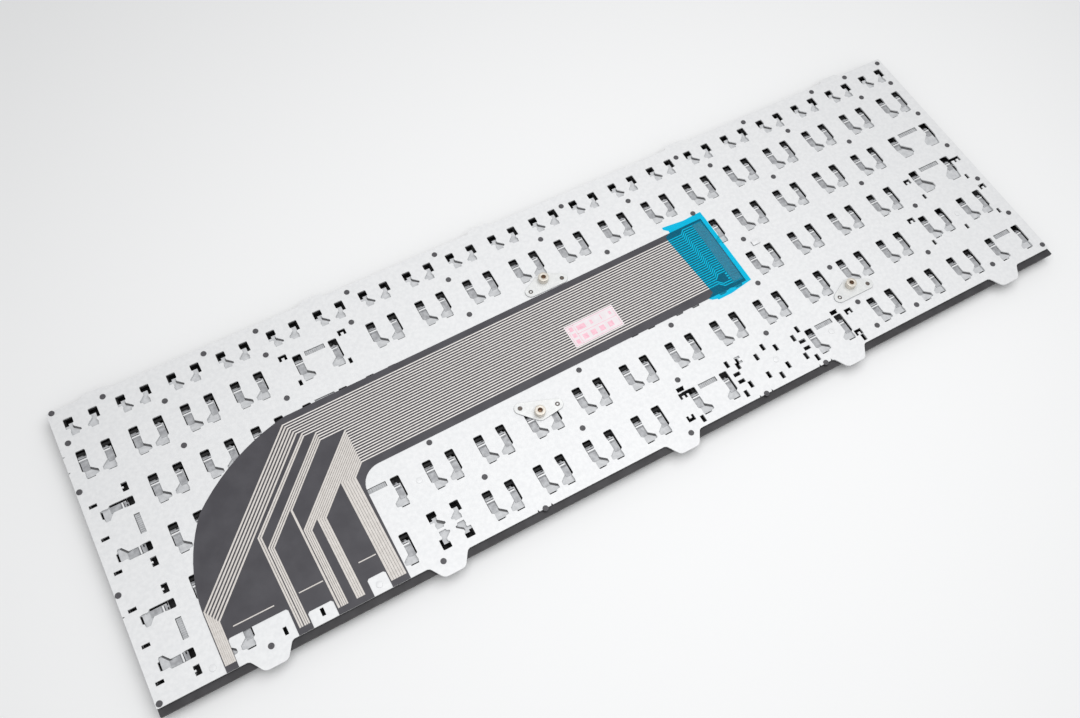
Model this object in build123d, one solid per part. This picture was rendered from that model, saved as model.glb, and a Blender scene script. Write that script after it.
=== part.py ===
from build123d import *
from math import asin, atan, degrees
import os

# Laptop replacement keyboard, lying face down: keytops on the ground, stamped back plate up.
# X runs from the numeric pad to the escape side, Y from the space bar to the function row.
# All sizes are in millimetres.

# Key grid
key_pitch = 19.0
row_pitch = 18.65
numpad_pitch = 17.54
function_cell_depth = 12.5
letter_row_count = 5
number_key_count = 13
function_key_count = 16
numpad_column_count = 4

# Wide keys, as cell widths
backspace_width = 31.0
tab_width = 27.3
caps_width = 33.6
left_shift_width = 43.4
left_ctrl_width = 24.2

# Margins of the grid on the plate
pad_margin = 0.9
escape_margin = 0.2
block_gap = 0.8
near_margin = 0.3
far_margin = 0.2

# Keycaps
cap_gap = 2.6
half_key_gap = 1.7
cap_height = 2.6
cap_draft = 0.35
cap_top_wall = 0.9
cap_side_wall = 0.9

# Layers, from the keytops up
key_proud = 1.6
frame_thickness = 3.0
film_thickness = 0.15
plate_thickness = 0.5
tape_thickness = 0.1

# Key frame and films
opening_clearance = 0.45
frame_ledge = 0.9
flange_reach = 2.4
flange_thickness = 1.1
film_inset = 1.2
fold_gap = 0.15

# Clip slots: a straight shank whose toe turns towards the middle of the key
clip_span = 11.4
wide_clip_span = 16.4
broad_clip_span = 19.6
slot_width = 3.1
slot_length = 10.9
slot_shank = 7.0
slot_toe = 5.0
slot_heel = 0.7
slot_rise = 4.6
raised_slot_rise = 5.9
broad_slot_shank = 5.0
broad_slot_toe = 6.5
short_slot_length = 6.9
half_slot_length = 6.2
short_slot_shank = 3.4
short_slot_toe = 4.7
short_slot_rise = 2.0
bar_window_length = 7.2
broad_window_length = 9.0
bar_window_width = 1.9

# Stabiliser slots of the wide keys
hook_reach = 2.8
hook_slot = (2.9, 2.3)
anchor_slot = (1.2, 2.2)
anchor_inset = 1.8
anchor_drop = 5.9
backspace_hook_rise = 5.6
caps_hook_rise = 2.7
shift_hook_rise = 6.1

# Clips of the long numeric keys; those of the two tall keys are turned on their side
tall_clip_span = 20.0
zero_clip_span = 17.0
tall_clip_rise = 5.8
tall_hook_span = 27.8
tall_hook_slot = (3.2, 2.0)
tall_anchor_span = 24.2
tall_anchor_drop = 6.3
tall_anchor_slot = (1.2, 2.6)

# Space bar: clip distance from its middle, and the small cut-outs beside the clips
space_clip_offset = 25.2
space_middle_cutouts = [(4.2, 3.9), (12.0, 4.0), (15.3, 6.3)]
space_cutout = (1.25, 2.4)
space_ring_reach = 6.2
space_slit_offset = (14.2, 1.5)
space_slit = (2.4, 1.2)
space_hook_offsets = [(-35.6, 3.4), (-37.7, -5.0), (36.7, 3.8), (34.7, -4.9)]
space_block_offsets = [(-35.0, 5.9), (31.6, 5.9)]
space_block = (3.2, 1.7)
space_anchor_offsets = [(-34.0, -7.1), (35.2, -7.5)]

# Stabiliser wires under the wide keys
wire_size = 0.7
wire_reach = 7.0
wire_inset = 2.2
wire_offset = 3.6
wire_clearance = 0.2

# Lugs along the near edge and low tabs along the far edge
lug_centres = [35.3, 94.8, 183.2, 254.1, 326.8]
lug_reach = 4.9
lug_base = 15.0
lug_waist = 12.4
lug_waist_drop = 1.0
lug_tip = 8.0
lug_round = 0.9
far_tab_centres = [15.8, 94.1, 161.0, 248.0, 324.3]
far_tab_reach = 1.4
far_tab_length = 9.4
far_tab_slope = 1.0

# Rubber domes
dome_base = 4.4
dome_top = 2.6

# Film tail, measured from the plate's left and near edges
tail_left = 21.5
tail_right = 81.7
tail_turn_low = 20.0
tail_turn_points = [(24.1, 35.0), (32.0, 50.4), (48.3, 62.1)]
tail_turn_x = 68.5
tail_run_low = 39.5
tail_run_high = 69.2
tail_slant = 0.019
tail_end = 238.3
tail_corner = 7.4
tail_windows = [(25.3, 44.5, 9.3), (49.3, 57.6, 5.3), (69.4, 75.6, 6.0)]

# Tape over the tail's end, and the label on the tail
tape_length = 18.6
tape_overhang = 1.4
tape_lap = 3.1
label_length = 20.4
label_width = 9.7
label_place = (178.2, 50.9)

# Threaded bosses: place of the bore, and the turn of the plate that carries it
boss_places = [(171.4, 75.9, 0), (144.7, 30.4, 160), (270.8, 21.8, 0)]
boss_ear_spacing = 12.9
boss_ear_drop = 2.4
boss_ear_radius = 2.1
boss_nose_radius = 2.9
boss_plate_thickness = 0.5
boss_radius = 1.9
boss_height = 2.2
boss_bore_radius = 0.8

# Plan sizes that follow from the grid
main_left = pad_margin + numpad_column_count * numpad_pitch + block_gap
main_right = main_left + backspace_width + number_key_count * key_pitch
plate_width = main_right + escape_margin
function_y = near_margin + letter_row_count * row_pitch + function_cell_depth / 2
plate_depth = function_y + function_cell_depth / 2 + far_margin
function_pitch = (main_right - main_left) / function_key_count
fold_reach = fold_gap + film_thickness

# Heights that follow from the layers
frame_top = key_proud + frame_thickness
spacer_z = frame_top + film_thickness
circuit_z = spacer_z + film_thickness
plate_z = circuit_z + film_thickness
plate_top = plate_z + plate_thickness
tail_top = plate_top + film_thickness
boss_seat = plate_top + boss_plate_thickness

# The origin is under the middle of the whole outline
x_shift = -plate_width / 2
y_shift = -(plate_depth + far_tab_reach - lug_reach) / 2


def at(x, y, z=0.0):
    """Place given by its distances to the plate's left and near edges, and its height."""
    return Pos(x + x_shift, y + y_shift, z)


def loop(points, z):
    """Closed outline of straight edges."""
    return Wire.make_polygon([at(x, y, z).position for x, y in points])


def sheet(outline, holes, z, thickness):
    """Flat sheet with holes."""
    face = Face(loop(outline, z), [loop(hole, z) for hole in holes])
    return Solid.extrude(face, Vector(0, 0, thickness))


def block(x0, x1, y0, y1, z0, z1):
    """Box between two corners."""
    return sheet([(x0, y0), (x1, y0), (x1, y1), (x0, y1)], [], z0, z1 - z0)


def frustum(x, y, low, high):
    """Solid between two flat outlines, each a list of corners and a height."""
    loops = []
    for corners, z in (low, high):
        loops.append([at(x + u, y + v, z).position for u, v in corners])
    bottom, top = loops
    faces = [Face(Wire.make_polygon(bottom)), Face(Wire.make_polygon(top))]
    for i in range(len(bottom)):
        faces.append(Face(Wire.make_polygon([bottom[i - 1], bottom[i], top[i], top[i - 1]])))
    return Solid(Shell(faces))


def rectangle(x, y, size):
    """Corners of a rectangle about its middle."""
    left, right = x - size[0] / 2, x + size[0] / 2
    low, high = y - size[1] / 2, y + size[1] / 2
    return [(left, low), (right, low), (right, high), (left, high)]


class Key:
    """A key: the middle and size of its cap, and the kind of clip that holds it."""

    def __init__(self, x, y, width, depth=row_pitch, clip="plain", gap=cap_gap, name=""):
        self.x = x
        self.y = y
        self.width = width - cap_gap
        self.depth = depth - gap
        self.clip = clip
        self.name = name


def row_y(row):
    """Middle of a row, counted from the space bar."""
    return near_margin + (row + 0.5) * row_pitch


def pad_x(column):
    """Middle of a numeric column, counted from the plate's left edge."""
    return pad_margin + (column + 0.5) * numpad_pitch


def letter_row(row, left, letters, right, right_width, clips):
    """A wide key, letters at the key pitch, and a wide key at the escape side."""
    letters_left = main_right - right_width - len(letters) * key_pitch
    left_width = letters_left - main_left
    keys = [Key(main_left + left_width / 2, row_y(row), left_width, clip=clips[0], name=left)]
    for i, name in enumerate(letters):
        keys.append(Key(letters_left + (i + 0.5) * key_pitch, row_y(row), key_pitch, name=name))
    keys.append(Key(main_right - right_width / 2, row_y(row), right_width, clip=clips[1], name=right))
    return keys


def number_row():
    """The backspace key, then the number keys up to the escape side."""
    first = main_left + backspace_width + key_pitch / 2
    keys = [Key(main_left + backspace_width / 2, row_y(4), backspace_width, clip="backspace")]
    return keys + [Key(first + i * key_pitch, row_y(4), key_pitch) for i in range(number_key_count)]


def function_row():
    """Shallow keys along the far edge."""
    pad = [(pad_x(i), numpad_pitch) for i in range(numpad_column_count)]
    main = [(main_left + (i + 0.5) * function_pitch, function_pitch) for i in range(function_key_count)]
    return [Key(x, function_y, width, function_cell_depth, "short") for x, width in pad + main]


def numpad():
    """Numeric keys; seen from the back, the two tall ones stand along the left edge."""
    keys = [Key(pad_x(i), row_y(4), numpad_pitch) for i in range(numpad_column_count)]
    for row in (1, 2, 3):
        keys += [Key(pad_x(i), row_y(row), numpad_pitch) for i in range(1, numpad_column_count)]
    keys += [Key(pad_x(0), row_y(row), numpad_pitch, 2 * row_pitch, "tall") for row in (0.5, 2.5)]
    keys.append(Key(pad_x(1), row_y(0), numpad_pitch))
    keys.append(Key(pad_x(2.5), row_y(0), 2 * numpad_pitch, clip="double"))
    return keys


def bottom_row():
    """Arrows and modifier keys on both sides of the space bar."""
    y = row_y(0)
    half = row_pitch / 2
    ctrl_left = main_right - left_ctrl_width
    keys = [Key(main_left + (i + 0.5) * key_pitch, y, key_pitch) for i in (0, 2, 3, 4, 5)]
    keys += [Key(ctrl_left - (i + 0.5) * key_pitch, y, key_pitch) for i in range(3)]
    keys.append(Key(main_right - left_ctrl_width / 2, y, left_ctrl_width, clip="wide"))
    middle = main_left + 1.5 * key_pitch
    keys.append(Key(middle, y + half / 2, key_pitch, half, "half", half_key_gap))
    keys.append(Key(middle, y - half / 2, key_pitch, half, "half_turned", half_key_gap))
    return keys


def space_bar():
    """The space bar fills what the bottom row leaves."""
    left = main_left + 6 * key_pitch
    right = main_right - left_ctrl_width - 3 * key_pitch
    return Key((left + right) / 2, row_y(0), right - left, clip="space", name="space")


def mirrored_slots(x, y, span, rise, boot, turn=1):
    """A boot-shaped slot and its mirror image, by their top outer corners."""
    slots = []
    for side in (-1, 1):
        slots.append([(x + side * (span / 2 - u), y + turn * (rise - v)) for u, v in boot])
    return slots


def clip_pair(x, y, span, rise=slot_rise, toe=slot_toe, shank=slot_shank):
    """The two mirrored slots of one clip."""
    boot = [
        (0, 0),
        (slot_width, 0),
        (slot_width, shank),
        (toe, shank + toe - slot_width),
        (toe - 2 * slot_heel, slot_length),
        (slot_heel, slot_length),
    ]
    return mirrored_slots(x, y, span, rise, boot)


def short_clip(x, y, length, turn=1):
    """The two shorter slots under a shallow key."""
    boot = [
        (0, 0),
        (slot_width, 0),
        (slot_width, short_slot_shank),
        (short_slot_toe, length),
        (slot_heel, length),
    ]
    return mirrored_slots(x, y, clip_span, short_slot_rise, boot, turn)


def bar_window(x, y, rise, length):
    """Window of a guide bar, between the tops of two slots."""
    return rectangle(x, y + rise - bar_window_width / 2, (length, bar_window_width))


def wide_clip(x, y, span, rise=slot_rise):
    """Clip of a wide key: two slots, and the window of its guide bar."""
    return clip_pair(x, y, span, rise) + [bar_window(x, y, rise, bar_window_length)]


def broad_clip(x, y, rise):
    """Clip of the widest keys: slots with a long toe, and a longer window."""
    slots = clip_pair(x, y, broad_clip_span, rise, broad_slot_toe, broad_slot_shank)
    return slots + [bar_window(x, y, rise, broad_window_length)]


def hook_slots(x, y, clip_width, rise):
    """Slots of a stabiliser wire: hooks beside the clip, and anchors below them."""
    slots = []
    for side in (-1, 1):
        hook_x = clip_width / 2 + hook_reach
        slots.append(rectangle(x + side * hook_x, y + rise, hook_slot))
        slots.append(rectangle(x + side * (hook_x - anchor_inset), y - anchor_drop, anchor_slot))
    return slots


def long_clip(x, y, span, turned):
    """A wide clip with its hooks and anchors, turned on its side under a tall key."""
    slots = wide_clip(0, 0, span, tall_clip_rise)
    for side in (-1, 1):
        slots.append(rectangle(side * tall_hook_span / 2, slot_rise, tall_hook_slot))
    for side in (-1, 0, 1):
        slots.append(rectangle(side * tall_anchor_span / 2, -tall_anchor_drop, tall_anchor_slot))
    if turned:
        return [[(x + v, y - u) for u, v in slot] for slot in slots]
    return [[(x + u, y + v) for u, v in slot] for slot in slots]


def space_slots(x, y):
    """Two wide clips, with rows of small cut-outs between and beside them."""
    slots = [rectangle(x + u, y + v, hook_slot) for u, v in space_hook_offsets]
    slots += [rectangle(x + u, y + v, space_block) for u, v in space_block_offsets]
    slots += [rectangle(x + u, y + v, space_cutout) for u, v in space_anchor_offsets]
    for side in (-1, 1):
        slots += wide_clip(x + side * space_clip_offset, y, wide_clip_span)
        slots.append(rectangle(x, y + side * space_ring_reach, space_cutout))
        for end in (-1, 1):
            slots += [rectangle(x + side * u, y + end * v, space_cutout) for u, v in space_middle_cutouts]
            slit_x, slit_y = space_slit_offset
            slots.append(rectangle(x + side * slit_x, y + end * slit_y, space_slit))
    return slots


def double_clip(x, y, pitch, rise=slot_rise):
    """Two plain clips side by side under one long key."""
    slots = []
    for side in (-1, 1):
        slots += clip_pair(x + side * pitch / 2, y, clip_span, rise=rise)
    return slots


def key_slots(key):
    """All slots of the plate that belong to one key."""
    x, y = key.x, key.y
    if key.clip == "short":
        return short_clip(x, y, short_slot_length)
    if key.clip == "half":
        return short_clip(x, y, half_slot_length)
    if key.clip == "half_turned":
        return short_clip(x, y, half_slot_length, -1)
    if key.clip == "wide":
        return wide_clip(x, y, wide_clip_span)
    if key.clip == "broad":
        return broad_clip(x, y, slot_rise)
    if key.clip == "backspace":
        return wide_clip(x, y, wide_clip_span) + hook_slots(x, y, wide_clip_span, backspace_hook_rise)
    if key.clip == "caps":
        clip = broad_clip(x, y, raised_slot_rise)
        return clip + hook_slots(x, y, broad_clip_span, caps_hook_rise)
    if key.clip == "shift":
        clip = double_clip(x, y, key_pitch, raised_slot_rise) + [rectangle(x, y - anchor_drop, anchor_slot)]
        return clip + hook_slots(x, y, key_pitch + clip_span, shift_hook_rise)
    if key.clip == "double":
        return long_clip(x, y, zero_clip_span, False)
    if key.clip == "tall":
        return long_clip(x, y, tall_clip_span, True)
    if key.clip == "space":
        return space_slots(x, y)
    return clip_pair(x, y, clip_span)


def plate_outline():
    """Plate edge, with lugs along the near side and low tabs along the far side."""
    edge = [(0, 0)]
    for x in lug_centres:
        half = [
            (lug_base / 2, 0),
            (lug_waist / 2, -lug_waist_drop),
            (lug_tip / 2, lug_round - lug_reach),
            (lug_tip / 2 - lug_round, -lug_reach),
        ]
        edge += [(x - u, v) for u, v in half] + [(x + u, v) for u, v in reversed(half)]
    edge += [(plate_width, 0), (plate_width, plate_depth)]
    tip = far_tab_length / 2 - far_tab_slope
    for x in reversed(far_tab_centres):
        half = [(far_tab_length / 2, plate_depth), (tip, plate_depth + far_tab_reach)]
        edge += [(x + u, v) for u, v in half] + [(x - u, v) for u, v in reversed(half)]
    return edge + [(0, plate_depth)]


def film_sheet(z):
    """One plain sheet of the membrane, inside the plate's edge."""
    right, far = plate_width - film_inset, plate_depth - film_inset
    return block(film_inset, right, film_inset, far, z, z + film_thickness)


def tail_face():
    """Outline of the tail on the plate's back: a broad turn, then a long slanted run."""
    def point(x, y):
        return at(x, y, plate_top).position

    def slanted(x, base, y):
        return point(x, y + tail_slant * (x - base))

    corner_x = tail_right + tail_corner
    bow = tail_corner * (1 - 0.5 ** 0.5)
    turn_start = point(tail_left, tail_turn_low)
    turn_end = point(tail_turn_x, tail_run_high)
    inner_start = point(corner_x, tail_run_low)
    inner_middle = point(tail_right + bow, tail_run_low - bow)
    inner_end = point(tail_right, tail_run_low - tail_corner)
    near = [inner_end, point(tail_right, -fold_reach)]
    for x0, x1, top in reversed(tail_windows):
        near += [point(x1, -fold_reach), point(x1, top), point(x0, top), point(x0, -fold_reach)]
    near += [point(tail_left, -fold_reach), turn_start]
    far = [turn_end, slanted(tail_end, tail_turn_x, tail_run_high)]
    far += [slanted(tail_end, corner_x, tail_run_low), inner_start]
    edges = Polyline(*near).edges() + Polyline(*far).edges()
    first, middle, last = [point(*place) for place in tail_turn_points]
    edges.append(ThreePointArc(turn_start, first, middle).edge())
    edges.append(ThreePointArc(middle, last, turn_end).edge())
    edges.append(ThreePointArc(inner_start, inner_middle, inner_end).edge())
    return make_face(edges).face()


def circuit_film():
    """Circuit sheet under the plate, folded in four strips round the near edge into the tail."""
    film = film_sheet(circuit_z) + Solid.extrude(tail_face(), Vector(0, 0, film_thickness))
    starts = [tail_left] + [x1 for x0, x1, top in tail_windows]
    ends = [x0 for x0, x1, top in tail_windows] + [tail_right]
    for x0, x1 in zip(starts, ends):
        film += block(x0, x1, -fold_reach, film_inset, circuit_z, plate_z)
        film += block(x0, x1, -fold_reach, -fold_gap, circuit_z, tail_top)
    return film


def key_frame():
    """Black lattice that frames every key, with a thin flange along its near side."""
    outline = [(0, -frame_ledge), (plate_width, -frame_ledge), (plate_width, plate_depth), (0, plate_depth)]
    holes = []
    for key in all_keys:
        size = (key.width + 2 * opening_clearance, key.depth + 2 * opening_clearance)
        holes.append(rectangle(key.x, key.y, size))
    flange = block(0, plate_width, -flange_reach, -frame_ledge, frame_top - flange_thickness, frame_top)
    return sheet(outline, holes, key_proud, frame_thickness) + flange


def keycap(key):
    """Hollow cap: a flat front, drafted sides, open towards the plate."""
    front = rectangle(0, 0, (key.width - 2 * cap_draft, key.depth - 2 * cap_draft))
    skirt = rectangle(0, 0, (key.width, key.depth))
    cap = frustum(key.x, key.y, (front, 0), (skirt, cap_height))
    pocket = Box(key.width - 2 * cap_side_wall, key.depth - 2 * cap_side_wall, cap_height)
    return cap - at(key.x, key.y, cap_top_wall + cap_height / 2) * pocket


def dome_places(key):
    """Middles of the domes under a key: one, or two under a key with two clips."""
    spread = {"shift": key_pitch, "double": numpad_pitch, "space": 2 * space_clip_offset}
    if key.clip in spread:
        return [(key.x - spread[key.clip] / 2, key.y), (key.x + spread[key.clip] / 2, key.y)]
    return [(key.x, key.y)]


def rubber_domes():
    """Tapered domes between the caps and the upper film."""
    top = rectangle(0, 0, (dome_top, dome_top))
    base = rectangle(0, 0, (dome_base, dome_base))
    places = [place for key in all_keys for place in dome_places(key)]
    return Compound([frustum(x, y, (top, cap_top_wall), (base, frame_top)) for x, y in places])


def stabiliser_wire(key):
    """Wire bent to a U: its bar lies under the cap, its arms rise to the hooks at the film."""
    tall = key.depth > key.width
    length = max(key.width, key.depth) - 2 * (cap_side_wall + wire_inset)
    half = length / 2
    inner = half - wire_size
    outline = [
        (-half, 0),
        (half, 0),
        (half, -wire_reach),
        (inner, -wire_reach),
        (inner, -wire_size),
        (-inner, -wire_size),
        (-inner, -wire_reach),
        (-half, -wire_reach),
    ]
    section = Face(Wire.make_polygon([Vector(u, v, 0) for u, v in outline]))
    wire = Solid.extrude(section, Vector(0, 0, wire_size))
    low = cap_top_wall + wire_clearance
    climb = frame_top - wire_clearance - wire_size - low
    tilt = -degrees(asin(climb / wire_reach))
    turn = -90 if tall else 0
    return wire.moved(at(key.x, key.y, low) * Rot(0, 0, turn) * Pos(0, wire_offset, 0) * Rot(tilt, 0, 0))


def boss_plates():
    """Rounded three-cornered plates, each carrying a boss."""
    ear = boss_ear_spacing / 2
    corners = Pos(-ear, -boss_ear_drop) * Circle(boss_ear_radius)
    corners += Pos(ear, -boss_ear_drop) * Circle(boss_ear_radius)
    corners += Circle(boss_nose_radius)
    outline = make_hull(corners.edges())
    plate = Solid.extrude(outline.face(), Vector(0, 0, boss_plate_thickness))
    return Compound([plate.moved(at(x, y, plate_top) * Rot(0, 0, turn)) for x, y, turn in boss_places])


def threaded_bosses():
    """Round bosses with the bore that takes a screw."""
    ring = Circle(boss_radius) - Circle(boss_bore_radius)
    boss = Solid.extrude(ring.face(), Vector(0, 0, boss_height))
    return Compound([boss.moved(at(x, y, boss_seat)) for x, y, turn in boss_places])


def tail_tape():
    """Tape over the connector end of the tail, lapping past its edges."""
    x1 = tail_end + tape_overhang
    low = tail_run_low + tail_slant * (tail_end - tail_right) - tape_lap
    high = tail_run_high + tail_slant * (tail_end - tail_turn_x) + tape_lap
    return block(x1 - tape_length, x1, low, high, tail_top, tail_top + tape_thickness)


def tail_label():
    """Small label stuck on the tail, turned with its run."""
    flat = Box(label_length, label_width, tape_thickness)
    turn = degrees(atan(tail_slant))
    return at(*label_place, tail_top + tape_thickness / 2) * Rot(0, 0, turn) * flat


tab_letters = "right_bracket left_bracket p o i u y t r e w q".split()
caps_letters = "quote semicolon l k j h g f d s a".split()
shift_letters = "extra slash period comma m n b v c x z".split()
moving_keys = letter_row(3, "backslash", tab_letters, "tab", tab_width, ("wide", "broad"))
moving_keys += letter_row(2, "enter", caps_letters, "caps_lock", caps_width, ("caps", "caps"))
moving_keys += letter_row(1, "right_shift", shift_letters, "left_shift", left_shift_width, ("wide", "shift"))
moving_keys.append(space_bar())
fixed_rows = {
    "function_row_keys": function_row(),
    "number_row_keys": number_row(),
    "numpad_keys": numpad(),
    "bottom_row_keys": bottom_row(),
}
all_keys = moving_keys + [key for row in fixed_rows.values() for key in row]
wired_clips = ("backspace", "caps", "shift", "double", "tall", "space")

plate_slots = [slot for key in all_keys for slot in key_slots(key)]

nodes = {
    "back_plate": sheet(plate_outline(), plate_slots, plate_z, plate_thickness),
    "key_frame": key_frame(),
    "upper_film": film_sheet(frame_top),
    "spacer_film": film_sheet(spacer_z),
    "circuit_film": circuit_film(),
    "rubber_domes": rubber_domes(),
    "stabiliser_wires": Compound([stabiliser_wire(key) for key in all_keys if key.clip in wired_clips]),
    "boss_plates": boss_plates(),
    "threaded_bosses": threaded_bosses(),
    "tail_tape": tail_tape(),
    "tail_label": tail_label(),
}
for name, row in fixed_rows.items():
    nodes[name] = Compound([keycap(key).solid() for key in row])
for key in moving_keys:
    nodes["key_" + key.name] = keycap(key)

os.makedirs("parts", exist_ok=True)
for name, shape in nodes.items():
    export_step(shape, f"parts/{name}.step")
print(len(nodes), "nodes,", len(all_keys), "keys, plate", round(plate_width, 2), "by", round(plate_depth, 2))
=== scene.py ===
# %% [markdown]
# # Laptop keyboard, lying face down
#
# A slim keyboard with a numeric pad, shown from its back. A stamped steel plate
# carries every clip. Under it lie the membrane, the rubber domes, the scissor
# links, the black key frame and the caps. A printed film tail folds round the
# near edge and runs across the back to its connector end.
#
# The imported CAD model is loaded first. Each visual piece below takes the place
# of a CAD node, or sits on one, and rides on the same body.

# %% Load the frame
from math import atan, atan2, cos, hypot, pi, radians, sin

import bpy
from mathutils import Matrix, Vector


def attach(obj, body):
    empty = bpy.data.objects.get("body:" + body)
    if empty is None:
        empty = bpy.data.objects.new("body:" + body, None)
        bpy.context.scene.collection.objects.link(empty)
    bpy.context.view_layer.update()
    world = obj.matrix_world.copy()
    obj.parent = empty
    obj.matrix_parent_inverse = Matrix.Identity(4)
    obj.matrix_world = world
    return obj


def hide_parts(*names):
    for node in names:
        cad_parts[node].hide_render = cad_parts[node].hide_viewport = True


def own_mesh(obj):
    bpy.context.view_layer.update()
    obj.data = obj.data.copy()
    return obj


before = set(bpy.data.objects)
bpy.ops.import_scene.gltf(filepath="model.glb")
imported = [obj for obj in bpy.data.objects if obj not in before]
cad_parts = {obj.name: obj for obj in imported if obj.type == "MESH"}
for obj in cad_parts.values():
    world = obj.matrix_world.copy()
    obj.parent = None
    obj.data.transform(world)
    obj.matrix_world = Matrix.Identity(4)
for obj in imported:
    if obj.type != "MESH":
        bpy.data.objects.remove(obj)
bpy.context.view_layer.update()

# %% [markdown]
# ## Places on the plate
#
# Every place is measured as on a drawing of the plate: millimetres from its
# left edge and from its near edge, and the height above the table. One function
# turns such a place into the metres of the shared frame.

# %% Sizes of the plate and of the layers
mm = 0.001
plate_width = 350.06
plate_depth = 106.25
plate_left_x = -175.03
plate_near_y = -51.375
cap_floor_z = 0.9
frame_top_z = 4.6
plate_z = 5.05
plate_top_z = 5.55
film_thickness = 0.15
tail_top_z = plate_top_z + film_thickness


def spot(x, y, z=0.0):
    """A place on the drawing, in metres in the shared frame."""
    return Vector(((x + plate_left_x) * mm, (y + plate_near_y) * mm, z * mm))


print("plate corner at", spot(0, 0, plate_top_z))

# %% [markdown]
# ## Camera, table and light
#
# The camera stands above the numeric side and looks down on the back of the
# plate. The table is one large pale sheet. A white world gives even light, and
# one wide lamp overhead draws a soft shadow along the near edge. Both stay at a
# plain level, so the steel keeps its own pale grey.

# %% Camera
camera_data = bpy.data.cameras.new("camera")
camera_data.sensor_fit = "HORIZONTAL"
camera_data.sensor_width = 36.0
camera_data.lens = 33.8607
camera_data.clip_start = 0.01
camera = bpy.data.objects.new("camera", camera_data)
camera.location = (-0.113003, -0.136607, 0.320323)
camera.rotation_euler = (radians(27.1864), radians(-2.9077), radians(-29.1272))
bpy.context.scene.collection.objects.link(camera)
bpy.context.scene.camera = camera
bpy.context.scene.view_settings.view_transform = "Standard"
print("camera at", tuple(round(v, 4) for v in camera.location))


# %% Small helpers for working by hand
def deselect_all():
    """Back to object mode with nothing selected."""
    if bpy.context.mode != "OBJECT":
        bpy.ops.object.mode_set(mode="OBJECT")
    bpy.ops.object.select_all(action="DESELECT")


def activate(piece):
    """Selects one piece and makes it the active one."""
    deselect_all()
    piece.select_set(True)
    bpy.context.view_layer.objects.active = piece


def added(name, add, **sizes):
    """One primitive in the middle of the frame, with nothing else selected."""
    deselect_all()
    add(location=(0, 0, 0), **sizes)
    piece = bpy.context.object
    piece.name = name
    return piece


def apply_modifier(piece, kind, **settings):
    """Adds a modifier with its settings and applies it at once."""
    modifier = piece.modifiers.new(kind.lower(), kind)
    for name, value in settings.items():
        setattr(modifier, name, value)
    activate(piece)
    bpy.ops.object.modifier_apply(modifier=modifier.name)


def round_edges(piece, width, segments=2, angle=40):
    """A small bevel along every sharp edge, then smooth shading across it."""
    apply_modifier(piece, "BEVEL", width=width * mm, segments=segments,
                   limit_method="ANGLE", angle_limit=radians(angle))
    activate(piece)
    bpy.ops.object.shade_smooth_by_angle(angle=radians(35))


def dial(node, **values):
    """Sets a node's sockets by their names."""
    for name, value in values.items():
        node.inputs[name.replace("_", " ")].default_value = value


def coat(piece, material):
    """Gives a piece one material all over."""
    piece.data.materials.clear()
    piece.data.materials.append(material)


def settle(piece, slot, *nodes, body="keyboard"):
    """The piece rides on its body and stands for CAD nodes; its slot is not used."""
    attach(piece, body)
    if nodes:
        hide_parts(*nodes)
    return piece


print("helpers ready")

# %% Table and light
table = added("table", bpy.ops.mesh.primitive_plane_add, size=6.0)
table_paint = bpy.data.materials.new("table_white")
table_paint.use_nodes = True
table_shader = table_paint.node_tree.nodes["Principled BSDF"]
dial(table_shader, Base_Color=(0.86, 0.865, 0.87, 1), Roughness=0.75, Specular_IOR_Level=0.2)
coat(table, table_paint)

world = bpy.data.worlds.new("studio")
world.use_nodes = True
dial(world.node_tree.nodes["Background"], Color=(1.0, 1.0, 1.0, 1), Strength=0.5)
bpy.context.scene.world = world

lamp_data = bpy.data.lights.new("softbox", "AREA")
lamp_data.shape = "RECTANGLE"
lamp_data.size = 0.55
lamp_data.size_y = 0.42
lamp_data.energy = 1.5
lamp = bpy.data.objects.new("softbox", lamp_data)
lamp.location = (0.02, -0.045, 0.41)
lamp.rotation_euler = (Vector((0, 0, 0)) - lamp.location).to_track_quat("-Z", "Y").to_euler()
bpy.context.scene.collection.objects.link(lamp)
print("table, world and one softbox")

# %% [markdown]
# ## Finishes
#
# Each finish is a small node tree on Object coordinates. Two noises do most of
# the work: a broad one shifts the colour a little from place to place, and a
# fine one breaks up the gloss and lifts the surface. What is the same all over
# is set on the shader itself.


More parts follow.
